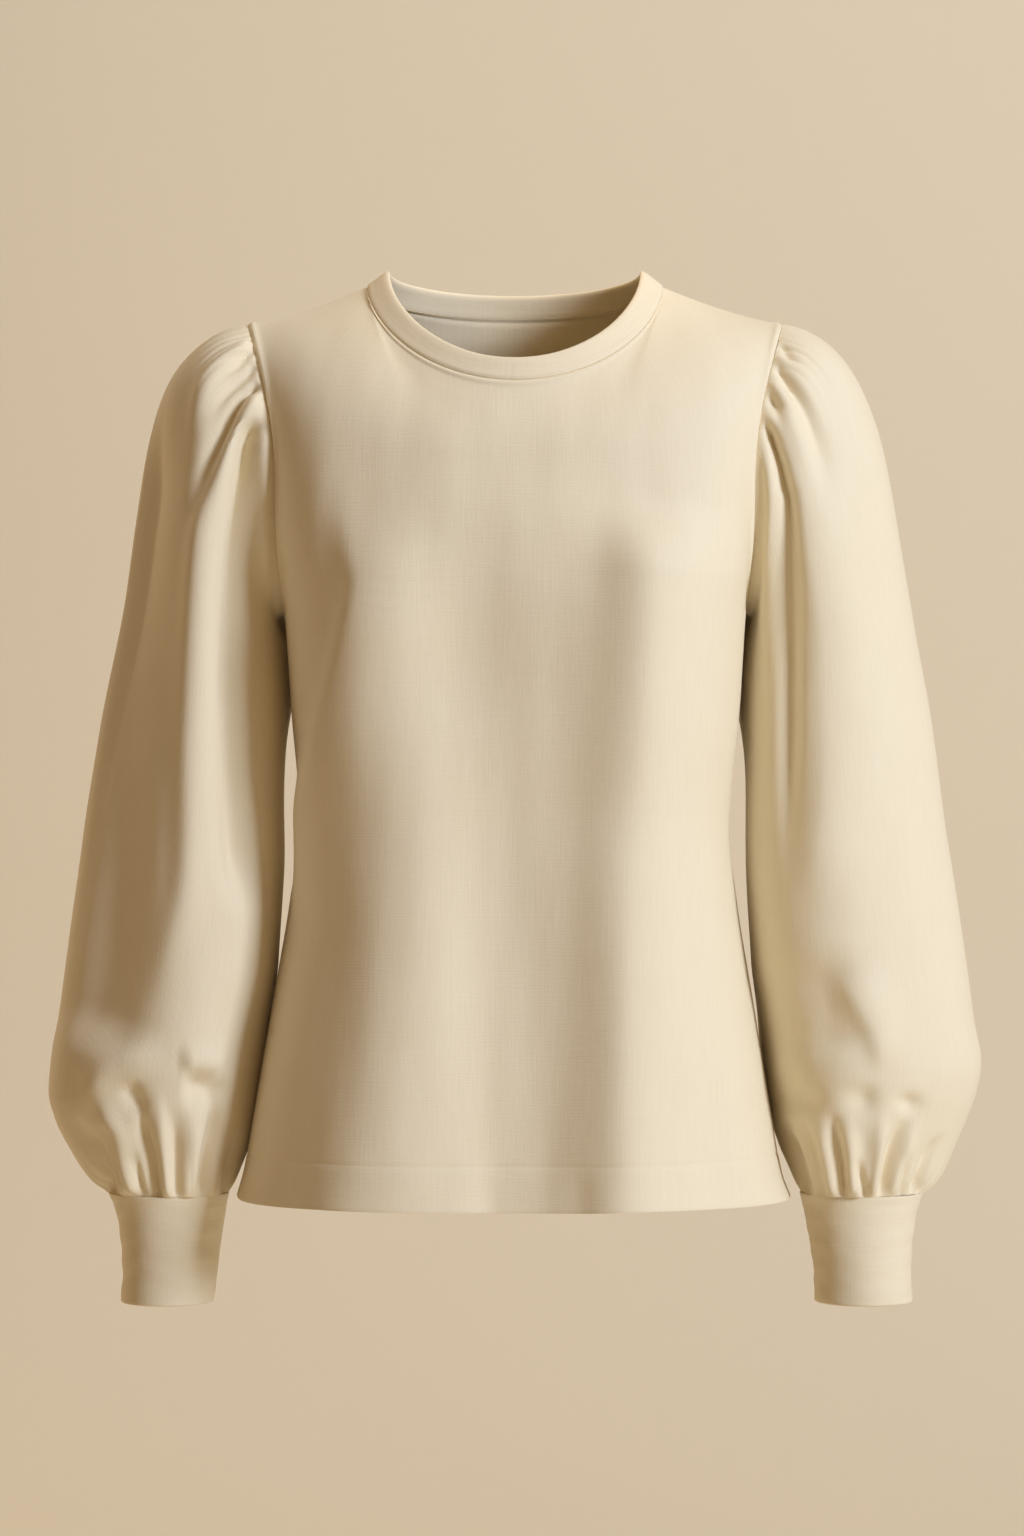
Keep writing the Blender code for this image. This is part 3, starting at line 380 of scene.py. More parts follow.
def bezier(a, b, c, d, t):
    s = 1 - t
    return a * s**3 + b * (3 * s * s * t) + c * (3 * s * t * t) + d * t**3


def stacked(x, y, z):
    """Rows of points from three lots of coordinates."""
    return np.stack(np.broadcast_arrays(x, y, z), axis=-1).astype(float)


# The forms: body, seams, sleeves


def neck_curve(curve, angle):
    """Points of a neckline. angle is 0 at the centre front and a quarter turn at the left."""
    c, s = np.cos(angle), np.sin(angle)
    front = c >= 0
    end_y = np.where(front, curve.front_y, curve.back_y)
    end_z = np.where(front, curve.front_z, curve.back_z)
    drop = np.where(front, np.abs(c) ** NECK_SCOOP, np.abs(c))
    return stacked(
        curve.half_width * s,
        curve.side_y + (end_y - curve.side_y) * np.abs(c),
        curve.side_z + (end_z - curve.side_z) * drop,
    )


def neck_angle(front, u):
    """The angle round the neck at which a panel's column ends."""
    quarter = pi / 2 * np.clip(u / NECK_SHARE, -1, 1)
    return quarter if front else pi - quarter


def section(front, u, z):
    """A level row of a panel. u runs from -1 at the wearer's right edge to 1 at the left."""
    half = blend(BODY_ROWS, "z", "half_width" if front else "back_half_width", z)
    centre_y = blend(BODY_ROWS, "z", "front_y" if front else "back_y", z)
    side_y = blend(BODY_ROWS, "z", "side_y", z)
    opened = np.clip((z - UNDERARM_Z) / (YOKE_Z - UNDERARM_Z), 0, 1)
    parted = np.sqrt(1 - (1 - opened) ** ARMHOLE_CURVE)
    edge_y = (ARMHOLE_FRONT_Y if front else ARMHOLE_BACK_Y) * parted
    square = blend(BODY_ROWS, "z", "square", z)
    end = pi / 2
    for _ in range(20):
        end = np.arccos(edge_y / (centre_y - side_y) / (1 + square * np.sin(end) ** 2))
    narrowed = 1 - end / (pi / 2)
    share = np.abs(u) - narrowed * np.abs(u) ** (1 + 3 * (1 - opened))
    angle = pi / 2 * share * np.sign(u)
    x = half * np.sin(angle) * (1 + square * np.cos(angle) ** 2)
    y = (centre_y - side_y) * np.cos(angle) * (1 + square * np.sin(angle) ** 2)
    return stacked(blend(BODY_ROWS, "z", "centre_x", z) + x, side_y + y, z)


# Relief


def smooth_path(points):
    """A smooth line through points of the front view."""
    points = np.reshape(points, (-1, 2)).astype(float)
    ends = np.concatenate([2 * points[:1] - points[1:2], points, 2 * points[-1:] - points[-2:-1]])
    t = np.arange(4)[:, None] / 4
    parts = []
    for p, q, r, s in zip(ends, ends[1:], ends[2:], ends[3:]):
        parts.append(q + (r - p) * t / 2 + (2 * p - 5 * q + 4 * r - s) * t**2 / 2
                     + (3 * q - p - 3 * r + s) * t**3 / 2)
    return np.concatenate([*parts, points[-1:]])


def folds(rows, x, z):
    """How far the folds stand out at places of the front view."""
    total = np.zeros(np.shape(x))
    for row in rows:
        path = smooth_path(row.path)
        runs = np.diff(path, axis=0)
        lengths = np.hypot(*runs.T)
        begun = np.cumsum(lengths) - lengths
        nearest = np.full(np.shape(x), 1e9)
        passed, side = np.zeros(np.shape(x)), np.zeros(np.shape(x))
        for start, run, length, before in zip(path, runs, lengths, begun):
            over, up = x - start[0], z - start[1]
            along = np.clip((over * run[0] + up * run[1]) / length**2, 0, 1)
            away = np.hypot(over - along * run[0], up - along * run[1])
            closer = away < nearest
            passed = np.where(closer, (before + along * length) / lengths.sum(), passed)
            side = np.where(closer, run[0] * up - run[1] * over, side)
            nearest = np.minimum(nearest, away)
        width = np.where(side > 0, row.after, row.before)
        width = width * (row.pinched + (1 - row.pinched) * ease(passed / WIDENING))
        fade = ease(passed / row.start) * ease((1 - passed) / row.end)
        total += row.height * fade * bell(nearest, width)
    return total


def unrest(points, turn):
    """The cloth's faint swells, uneven and turned differently on each piece."""
    x, y, z = np.moveaxis(points, -1, 0)
    total = 0.0
    for k, (length, height) in enumerate(SWELLS):
        lean = 0.9 * np.sin(2.4 * k + turn)
        wave_x = np.sin(2 * pi * (x + lean * z * 0.35) / length + 1.7 * k + turn)
        wave_z = np.sin(2 * pi * (z * 0.45 - lean * x + 0.4 * y) / length + 2.9 * k + 2 * turn)
        total = total + height * wave_x * wave_z
    return total


def seam_relief(distance, dip, roll, place):
    """A seam's groove and the soft roll beside it, this far from the edge."""
    return roll * bell(distance - place, 1.9) - dip * bell(distance, 1.3)


def passed_along(points, axis):
    """Distance travelled along a grid of points from its first row or column."""
    step = np.linalg.norm(np.diff(points, axis=axis), axis=-1)
    start = np.zeros(np.take(step, [0], axis=axis).shape)
    return np.concatenate([start, np.cumsum(step, axis=axis)], axis=axis)


def wave(gathers, around, distance, rise, at_seam=0.0):
    """How far gathers stand out or fall in: rounded crests between sharper troughs."""
    places = [g.around for g in gathers]
    phase = np.interp(around, places, np.arange(len(places)))
    height = np.interp(around, places, [g.height for g in gathers])
    length = np.interp(around, places, [g.length for g in gathers])
    run = np.clip((distance - rise) / (length - rise), 0, 1)
    grown = at_seam + (1 - at_seam) * swift(distance / rise)
    sharp = (2 * np.abs(np.cos(pi * phase)) - 1) * (1 - run) + np.cos(2 * pi * phase) * run
    return 0.5 * height * sharp * grown * (1 - ease(run))


def top_row(front, u):
    """The points of a panel's top edge: shoulder seam, neckline, shoulder seam."""
    neck = neck_curve(NECK_SEAM, neck_angle(front, u))
    share = np.clip((np.abs(u) - NECK_SHARE) / (1 - NECK_SHARE), 0, 1)[:, None]
    shoulder = NECK_POINT + (SHOULDER_POINT - NECK_POINT) * share
    shoulder = shoulder + np.array([0, 0, -2.0]) * np.sin(pi * share)
    shoulder = shoulder * stacked(np.sign(u), 1, 1)
    return np.where(np.abs(u)[:, None] <= NECK_SHARE, neck, shoulder)


def yoke_row(front, u, step):
    """A row above the level sections, on curves that run up to the top edge."""
    start = section(front, u, YOKE_Z)
    rise = unit(start - section(front, u, YOKE_Z - 4.0))
    end = top_row(front, u)
    back = 1.0 if front else -1.0
    neckwards = ease(np.abs(u) / NECK_SHARE)
    beyond = np.clip((np.abs(u) - NECK_SHARE) / (1 - NECK_SHARE), 0, 1)
    centre, side = (TILT_FRONT, TILT_SIDE_FRONT) if front else (TILT_BACK, TILT_SIDE_BACK)
    tilt = np.radians(centre + (side - centre) * neckwards + (TILT_SHOULDER - side) * beyond)
    arrive = stacked(0.0, back * np.cos(tilt), np.sin(tilt))
    apart = np.linalg.norm(end - start, axis=-1)[:, None]
    return bezier(start, start + rise * apart * 0.40, end - arrive * apart * 0.30, end, step)


def armhole_levels():
    """Heights up the armhole, closer together at its bottom."""
    shares = np.linspace(0, 1, ARMHOLE_ROWS + 1) ** 1.7
    return UNDERARM_Z + (YOKE_Z - UNDERARM_Z) * shares


def yoke_steps():
    """Steps up to the top edge, closer together beside it."""
    return 1 - (1 - np.linspace(0, 1, YOKE_ROWS + 1)[1:]) ** 1.6


def mitre(tangent, into_first, into_second, outward):
    """The directions across a seam, from its first piece to its second, and through its wall."""
    across = unit(into_second) - unit(into_first)
    across = unit(across - tangent * (across * tangent).sum(-1, keepdims=True))
    through = unit(np.cross(tangent, across))
    return across, through * np.sign((through * outward).sum(-1, keepdims=True))


# A seam: places round it from 0 to 1, its corners, and the directions across and through there.
Seam = namedtuple("Seam", "places points across through leave")


def seam_at(seam, places):
    """A seam's points and directions at any places, on straight lines between its corners."""
    parts = []
    for part in seam[1:]:
        parts.append(np.stack([np.interp(places, seam.places, part[:, k]) for k in range(3)], -1))
    return Seam(places, *parts)


@lru_cache
def armhole(side):
    """The armhole seam, from the underarm round the front to the shoulder and down the back."""
    sign = SIDES[side]
    u = np.array([0.96, 1.0]) * sign
    points, normals = [], []
    for front in (True, False):
        rows = [section(front, u, z) for z in armhole_levels()]
        rows += [yoke_row(front, u, step) for step in yoke_steps()]
        rising = [stacked(0, 0, 1)] * len(armhole_levels())
        for step in yoke_steps():
            rising.append(yoke_row(front, u, step)[0] - yoke_row(front, u, step - 0.05)[0])
        outward = [np.cross(row[1] - row[0], up) for row, up in zip(rows, rising)]
        normals.append([unit(n * np.sign(n[0] * sign + n[2])) for n in outward])
        points.append([row[1] for row in rows])
    corners = np.array(points[0] + points[1][-2::-1])
    outward = np.array(normals[0] + normals[1][-2::-1])
    middle = len(points[0]) - 1
    outward[middle] = unit(np.array([0.35 * sign, 0, 1.0]))
    outward[0] = outward[-1] = np.array([sign, 0.0, 0.1])
    lengths = np.linalg.norm(np.diff(corners, axis=0), axis=1)
    passed = np.concatenate([[0], np.cumsum(lengths)])
    half = passed[middle]
    share = np.where(passed <= half, passed / half, (passed[-1] - passed) / (passed[-1] - half))
    dense = np.linspace(0, 0.5, 501)
    around = np.interp(share, blend(SHARE_ROWS, "around", "share", dense), dense)
    around = np.where(passed <= half, around, 1 - around)
    tangent = np.empty_like(corners)
    tangent[1:-1] = unit(corners[2:] - corners[:-2])
    tangent[0] = tangent[-1] = unit(corners[1] - corners[-2])
    out, forward, up = (
        blend(CAP_ROWS, "around", name, around) for name in ("out", "forward", "up")
    )
    leave = unit(stacked(sign * out, -forward, up))
    inward = -sign * np.cross(tangent, outward)
    across, through = mitre(tangent, inward, leave, outward)
    return Seam(around, corners, across, through, leave)


def neck_seam(angle):
    """The neck seam's points, and its directions across to the band and through the wall."""
    points = neck_curve(NECK_SEAM, angle)
    tangent = unit(neck_curve(NECK_SEAM, angle + 0.01) - neck_curve(NECK_SEAM, angle - 0.01))
    into_band = unit(neck_curve(NECK_TOP, angle) - points)
    c, s = np.cos(angle), np.sin(angle)
    slope = NECK_SLOPE + np.where(c > 0, FRONT_SLOPE, BACK_SLOPE) * c * c
    into_panel = stacked(s, -c, -slope)
    return points, *mitre(tangent, into_panel, into_band, stacked(s, -c, 0.6))


# The pieces


def panel_columns():
    """Places across a panel, closer together beside its edges."""
    count = BODY_COLUMNS // 2
    middle = np.linspace(0, 1 - EDGE_STEPS[-1], count - len(EDGE_STEPS) + 1)[:-1]
    nearest = np.argmin(np.abs(middle - NECK_SHARE))
    middle[nearest] = NECK_SHARE
    half = np.array([*middle, *(1 - step for step in reversed(EDGE_STEPS))])
    return np.array([*(-half[:0:-1]), *half])


def panel_grid(front):
    """A panel's rows of points from the hem up, and the number of those below the armhole."""
    u = panel_columns()
    low = [HEM_Z + step for step in HEM_STEPS]
    side = [*low, *np.linspace(low[-1], UNDERARM_Z, SIDE_ROWS)[1:-1]]
    rows = [section(front, u, z) for z in (*side, *armhole_levels())]
    rows += [yoke_row(front, u, step) for step in yoke_steps()]
    return u, np.array(rows), len(side)


def numbered(shape):
    """The number of each point of a grid."""
    return np.arange(shape[0] * shape[1]).reshape(shape[:2])


def grid_faces(shape, closed=False):
    """The faces between a grid's points. A closed one joins its last column to its first."""
    index = numbered(shape)
    if closed:
        index = np.concatenate([index, index[:, :1]], axis=1)
    faces = np.stack([index[:-1, :-1], index[:-1, 1:], index[1:, 1:], index[1:, :-1]], -1)
    return faces.reshape(-1, 4)


def facing(rows, faces):
    """The directions out of a grid at its points."""
    return vertex_normals(rows.reshape(-1, 3), faces).reshape(rows.shape)


def rounded(distance, radius, least):
    """The share of its thickness that a wall has this far from its rounded edge."""
    return np.sqrt(np.clip(1 - (1 - np.clip(distance / radius, 0, 1)) ** 2, least, 1))


def eased_below_neck(u, rows):
    """The rows with the crease that runs down from each end of the neckline smoothed away."""
    top = passed_along(rows[::-1], 0)[::-1]
    near = bell(np.abs(u) - NECK_SHARE, 0.06)
    weight = (near[None, :] * ease(top / 12.0))[:, 1:-1, None]
    for _ in range(SMOOTHINGS):
        mean = (rows[:, :-2] + 2 * rows[:, 1:-1] + rows[:, 2:]) / 4
        rows[:, 1:-1] += weight * (mean - rows[:, 1:-1])
    return rows


def panel(name, front, rows_of_folds, turn):
    """The front or the back."""
    u, rows, low = panel_grid(front)
    rows = eased_below_neck(u, rows)
    shape = rows.shape[:2]
    faces = grid_faces(shape) if front else grid_faces(shape)[:, ::-1]

    def out_of_panel(rows):
        normals = facing(rows, faces)
        normals[: low + 1, [0, -1]] *= np.array([1, 0, 1])  # level with the seam at the sides
        return unit(normals)

    outward = out_of_panel(rows)
    fade = 1 - ease((np.abs(u) - 0.78) / 0.22)
    relief = folds(rows_of_folds, rows[..., 0], rows[..., 2]) * fade[None, :]
    relief += unrest(rows, turn) * (0.35 + 0.65 * fade[None, :])
    top = passed_along(rows[::-1], 0)[::-1]
    relief *= ease(top / 26.0)
    across = passed_along(rows, 1)
    edge = np.minimum(across, across[:, -1:] - across)
    in_armhole = (np.arange(shape[0]) > low)[:, None]
    at_armhole, at_side = seam_relief(edge, 0.25, 1.3, 3.0), seam_relief(edge, 0.9, 0.35, 3.2)
    seam = np.where(in_armhole, at_armhole, at_side)
    at_neck = np.abs(u) <= NECK_SHARE
    neckwards = ease((1 - np.abs(u) / NECK_SHARE) / 0.12)[None, :]
    seam += seam_relief(top, 0.3, 0.1, 3.0) + neckwards * seam_relief(top, 0.2, 0.8, 2.8)
    up = rows[..., 2] - HEM_Z
    hem = 0.25 * ease((HEM_DEPTH - up) / 6.0) - 0.3 * bell(up - HEM_DEPTH, 1.3)
    pucker = 0.18 * np.sin(across / 5.3 + turn) * bell(up - HEM_DEPTH, 9.0)
    rows = rows + outward * (relief + seam + hem + pucker)[..., None]
    normals = out_of_panel(rows)

    half = SEAM_GAP / 2
    towards = np.array([0.0, -1.0 if front else 1.0, 0.0])
    beyond = np.abs(u) > NECK_SHARE + 1e-6
    rows[-1, beyond] += towards * half
    normals[-1, beyond] = unit(stacked(0.3 * np.sign(u[beyond]), 0.0, 1.0))
    _, across_seam, through = neck_seam(neck_angle(front, u[at_neck]))
    rows[-1, at_neck] -= across_seam * half
    normals[-1, at_neck] = through
    rows[: low + 1, [0, -1]] += towards * half
    for side, column in (("right", 0), ("left", -1)):
        line = armhole(side)
        count = shape[0] - low
        part = slice(0, count) if front else slice(-1, -count - 1, -1)
        rows[low:, column] -= line.across[part] * half
        normals[low:, column] = line.through[part]
    outside = np.full(shape, CLOTH / 2)
    inside = outside + (HEM_CLOTH - CLOTH) * (1 - ease((up - HEM_DEPTH + 1.2) / 1.2))
    thin = rounded(up, 1.8, 0.04)
    outside, inside = outside * thin, inside * thin
    inside += (0.46 * BAND_CLOTH - inside) * bell(top, 7.0) * at_neck[None, :]
    index = numbered(shape)
    border = [*index[0], *index[1:, -1], *index[-1, -2::-1], *index[-2:0:-1, 0]]
    middle = shape[1] // 2
    uv = np.stack([across - across[:, middle : middle + 1], passed_along(rows, 0)], -1)
    return shell(name, rows, normals, faces, [border], inside, outside, uv)


def sleeve_ring(side, around, z):
    """A level ring of a sleeve, before its gathers."""
    sign = SIDES[side]
    inner, outer, mid_y, front, back = (
        blend(SLEEVE_ROWS, "z", name, z)
        for name in ("inner", "outer_" + side, "mid_y", "front", "back")
    )
    angle = 2 * pi * np.asarray(around)
    depth = np.where(np.sin(angle) > 0, front, back)
    y = mid_y - depth * np.sin(angle) * (1 + FRONT_LEAN[side] * np.cos(angle))
    x = (inner + outer) / 2 - (outer - inner) / 2 * np.cos(angle)
    for tuck in TUCKS:
        level = tuck.amount * bell(z - tuck.z, tuck.spread)
        level = level * ease((z - SLEEVE_ROWS[-1].z) / TUCK_FADE)
        x = x - level * np.clip(np.cos(angle + tuck.turn), 0, 1) ** 6
    return stacked(sign * x, y, z)


def cap_ring(side, around, step):
    """A ring of a sleeve between the armhole, at step 0, and the first level ring, at step 1."""
    seam = seam_at(armhole(side), around)
    reach = blend(CAP_ROWS, "around", "reach", around)[:, None] * PUFF[side]
    arrive = blend(CAP_ROWS, "around", "arrive", around)[:, None] * FALL[side]
    start = seam.points + seam.across * SEAM_GAP / 2
    top = SLEEVE_ROWS[0].z
    end = sleeve_ring(side, around, top)
    down = unit(sleeve_ring(side, around, top - 5.0) - end)
    return bezier(start, start + seam.leave * reach, end - down * arrive, end, step)


def faded_ends(gathers):
    """The gathers with a flat one beyond each end."""
    first, last = gathers[0], gathers[-1]
    before = first._replace(around=first.around - GATHER_MARGIN, height=0.0)
    return (before, *gathers, last._replace(around=last.around + GATHER_MARGIN, height=0.0))


def wrapped(gathers):
    """The gathers with the first and last repeated a turn away, for a ring that closes."""
    first = gathers[0]._replace(around=gathers[0].around + 1)
    last = gathers[-1]._replace(around=gathers[-1].around - 1)
    return (last, *gathers, first)


def under_arm(spread, girth, width):
    """The groove of the seam under the arm. spread is 0 and 1 there."""
    return ARM_SEAM * bell(np.minimum(spread, 1 - spread) * girth, width)


def sleeve(name, side, turn):
    """A sleeve, gathered into its armhole and into its cuff."""
    sign = SIDES[side]
    around = np.arange(SLEEVE_COLUMNS) / SLEEVE_COLUMNS
    steps = np.linspace(0, 1, CAP_ROWS_FINE + 1) ** 1.35
    low = SLEEVE_ROWS[-1].z + SEAM_GAP / 2
    t = np.linspace(0, 1, ARM_ROWS + 1)[1:]
    levels = SLEEVE_ROWS[0].z + (low - SLEEVE_ROWS[0].z) * (1 - (1 - t) ** 1.55)
    rows = [cap_ring(side, around, step) for step in steps]
    rows += [sleeve_ring(side, around, z) for z in levels]
    rows = np.array(rows)
    faces = grid_faces(rows.shape[:2], closed=True)[:, ::-sign]
    outward = facing(rows, faces)
    from_top = passed_along(rows, 0)
    from_low = from_top[-1:] - from_top
    spread = np.broadcast_to(around, from_top.shape)
    straight = np.linalg.norm(rows - rows[:1], axis=-1)
    level = np.hypot(outward[..., 0], outward[..., 1]) ** ease((rows[..., 2] + 500.0) / -40.0)
    to_front = ease((-outward[..., 1] / level + 0.2) / 0.6)
    to_back = ease((outward[..., 1] / level + 0.2) / 0.6)
    gathers = wave(faded_ends(CAP_GATHERS[side]), spread, straight, CAP_RISE, CAP_START)
    gathers += wave(wrapped(CUFF_GATHERS[side]), spread, from_low, CUFF_RISE)
    gathers *= 1 - SOFTENED * ease((0.5 - outward[..., 1]) / 0.8)
    x, z = rows[..., 0], rows[..., 2]
    relief = folds(SLEEVE_FRONT[side], x, z) * to_front + folds(SLEEVE_BACK[side], x, z) * to_back
    relief += unrest(rows, turn) * ease(from_top / 60.0) * ease(from_low / 30.0)
    relief *= (0.2 + 0.8 * ease(from_top / 7.0)) * (0.25 + 0.75 * swift(from_low / 10.0))
    seam = seam_relief(from_top, 0.3, 0.0, 3.0)
    seam -= under_arm(spread, SLEEVE_GIRTH, ARM_SEAM_WIDTH)
    outward[..., 2] *= ease(from_low / 8.0)
    rows = rows + unit(outward) * (gathers + relief + seam)[..., None]
    normals = facing(rows, faces)
    normals[0] = seam_at(armhole(side), around).through
    normals[-1] = unit(normals[-1] * np.array([1, 1, 0.2]))
    index = numbered(rows.shape)
    half = np.full(rows.shape[:2], CLOTH / 2)
    uv = np.stack([(spread - 0.5) * SLEEVE_GIRTH, from_top], -1)
    return shell(name, rows, normals, faces, [index[0], index[-1]], half, half, uv)


def cuff(name, side, turn):
    """A folded cuff, thicker than the sleeve, with a rounded edge at the wrist."""
    around = np.arange(CUFF_COLUMNS) / CUFF_COLUMNS
    angle = 2 * pi * around
    high, low = CUFF_ROWS[0].z - SEAM_GAP / 2, CUFF_ROWS[-1].z
    levels = [high - step for step in CUFF_TOP_STEPS]
    levels += [*np.linspace(levels[-1], low + 4.0, CUFF_LEVELS + 1)[1:]]
    levels += [low + step for step in CUFF_EDGE_STEPS]
    rows = []
    for z in levels:
        inner, outer, front, back = (
            blend(CUFF_ROWS, "z", column, z)
            for column in ("inner_" + side, "outer_" + side, "front", "back")
        )
        depth = np.where(np.sin(angle) > 0, front, back)
        x = SIDES[side] * ((inner + outer) / 2 - (outer - inner) / 2 * np.cos(angle))
        rows.append(stacked(x, CUFF_Y - depth * np.sin(angle), z))
    rows = np.array(rows)
    faces = grid_faces(rows.shape[:2], closed=True)[:, ::-SIDES[side]]
    level = np.array([1, 1, 0])
    outward = unit(facing(rows, faces) * level)
    from_top = passed_along(rows, 0)
    spread = np.broadcast_to(around, from_top.shape)
    relief = seam_relief(from_top, 0.0, 0.2, 1.8)
    pull = np.sin(2 * pi * from_top / 17.0 + 1.3 * np.sin(2 * angle + turn) + turn)
    relief += 0.28 * pull * np.sin(angle * 1.5 + turn) * ease(from_top / 8.0)
    relief += 0.5 * unrest(rows, turn) * ease(from_top / 8.0)
    relief -= under_arm(spread, CUFF_GIRTH, CUFF_SEAM_WIDTH)
    rows = rows + outward * relief[..., None]
    normals = unit(facing(rows, faces) * level)
    index = numbered(rows.shape)
    from_low = np.array(levels)[:, None] - low
    half = CUFF_CLOTH / 2 * rounded(from_low, 1.6, 0.05) * np.ones(rows.shape[:2])
    uv = np.stack([from_top, (spread - 0.5) * CUFF_GIRTH], -1)
    return shell(name, rows, normals, faces, [index[0], index[-1]], half, half, uv)


# The neckband's profile: its share of the way up, and its distance out of the middle in halves
# of the band's thickness.
BAND_OUTSIDE = rows_of("up out",
    (0, 0.50), (0.035, 0.72), (0.08, 0.95), (0.14, 1.02), (0.24, 0.96), (0.36, 0.98), (0.50, 1.02),
    (0.64, 1.06), (0.76, 1.08), (0.85, 1.02), (0.92, 0.86), (0.97, 0.58), (1, 0.20),
)
BAND_STEP, BAND_RADIUS = 1.4, 85.0  # round figures that lay out its weave


def neckband(name, turn):
    """A folded strip that stands on the neck seam, with a rounded fold on top."""
    angle = 2 * pi * np.arange(NECK_COLUMNS) / NECK_COLUMNS
    seam, across, through = neck_seam(angle)
    top = neck_curve(NECK_TOP, angle)
    low = seam + across * SEAM_GAP / 2
    rise = top - low
    tangent = neck_curve(NECK_TOP, angle + 0.02) - neck_curve(NECK_TOP, angle - 0.02)
    outward = unit(np.cross(rise, tangent))
    outward = outward * np.sign((outward * through).sum(-1, keepdims=True))
    half = BAND_CLOTH / 2
    swell = 0.18 * np.sin(5 * angle + turn) + 0.12 * np.sin(11 * angle + 2 * turn)
    points = []
    for row in BAND_OUTSIDE:
        points.append(low + rise * row.up + outward * (half * row.out + swell * row.up)[:, None])
    for row in reversed(BAND_OUTSIDE):
        out = max(row.out, 0.92) if row.up < 0.5 else row.out
        points.append(low + rise * row.up - outward * (half * out - swell * row.up)[:, None])
    rows = np.array(points)
    shape = rows.shape[:2]
    faces = grid_faces(shape, closed=True)
    last, first = numbered(shape)[[-1, 0]]
    close = np.stack([last, np.roll(last, -1), np.roll(first, -1), first], -1)
    over = np.cumsum(np.full(shape, BAND_STEP), axis=0)
    uv = np.stack([over, np.broadcast_to(angle * BAND_RADIUS, shape)], -1)
    return mesh_object(name, rows.reshape(-1, 3), [*faces, *close], uv.reshape(-1, 2))


# Meshes


def vertex_normals(points, faces):
    """The mean direction of the faces round each point, by their area."""
    faces = np.asarray(faces)
    first = points[faces[:, 2]] - points[faces[:, 0]]
    second = points[faces[:, -1]] - points[faces[:, 1]]
    flat = np.cross(first, second)
    normals = np.zeros_like(points)
    for k in range(faces.shape[1]):
        np.add.at(normals, faces[:, k], flat)
    return unit(normals)


def shell(name, rows, normals, faces, loops, inside, outside, uv):
    """A sheet's middle surface made a closed thin shell."""
    points, normals = rows.reshape(-1, 3), normals.reshape(-1, 3)
    count = len(points)
    outer = points + normals * np.reshape(outside, (-1, 1))
    inner = points - normals * np.reshape(inside, (-1, 1))
    walls = [faces, faces[:, ::-1] + count]
    for loop in loops:
        a, b = np.asarray(loop), np.roll(loop, -1)
        walls.append(np.stack([a, b, b + count, a + count], -1))
    both = np.tile(uv.reshape(-1, 2), (2, 1))
    return mesh_object(name, np.concatenate([outer, inner]), np.concatenate(walls), both)


def mesh_object(name, points, faces, uv):
    """One mesh with smooth shading, its faces turned outwards, and cloth coordinates in mm."""
    mesh = bpy.data.meshes.new(name)
    mesh.from_pydata((np.asarray(points) * MM).tolist(), [], np.asarray(faces).tolist())
    mesh.update()
    corners = np.empty(len(mesh.loops), int)
    mesh.loops.foreach_get("vertex_index", corners)
    layer = mesh.uv_layers.new(name="cloth")
    layer.data.foreach_set("uv", (np.asarray(uv) * MM)[corners].astype(np.float32).ravel())
    body = bmesh.new()
    body.from_mesh(mesh)
    bmesh.ops.recalc_face_normals(body, faces=body.faces)
    body.to_mesh(mesh)
    body.free()
    mesh.shade_smooth()
    mesh.set_sharp_from_angle(angle=radians(SHARP))
    return linked(name, mesh)


# Looks

CREAM = (0.86, 0.765, 0.555, 1.0)
CREAM_DEEP = (0.85, 0.75, 0.535, 1.0)
BACKDROP = (0.835, 0.744, 0.56, 1.0)
YARN_TINT = (0.965, 0.96, 0.945, 1.0)
SHEEN_TINT = (1.0, 0.95, 0.86, 1.0)
WHITE = (1.0, 1.0, 1.0, 1.0)
WORLD = (1.0, 0.50, 0.10, 1.0)
WORLD_STRENGTH = 0.17

# Waves or blotches of the cloth to each metre of its width and of its length.
YARNS = (620.0, 34.0)
WEFT = (60.0, 700.0)
CLOUD = (14.0, 9.0)
WEAVE = (330.0, 330.0)


def add_node(tree, kind, inputs=(), **settings):
    """A node with its settings, and its inputs, each a value or what another node puts out."""
    node = tree.nodes.new("ShaderNode" + kind)
    for name, value in settings.items():
        setattr(node, name, value)
    fill(tree, node, inputs)
    return node


def fill(tree, node, inputs):
    """Gives a node its inputs."""
    for socket, value in dict(inputs).items():
        if isinstance(value, bpy.types.NodeSocket):
            tree.links.new(value, node.inputs[socket])
        else:
            node.inputs[socket].default_value = value


def new_material(name, inputs=()):
    """A material, and its node tree and shader."""
    material = bpy.data.materials.new(name)
    material.use_nodes = True
    tree = material.node_tree
    fill(tree, tree.nodes["Principled BSDF"], inputs)
    return material, tree, tree.nodes["Principled BSDF"]


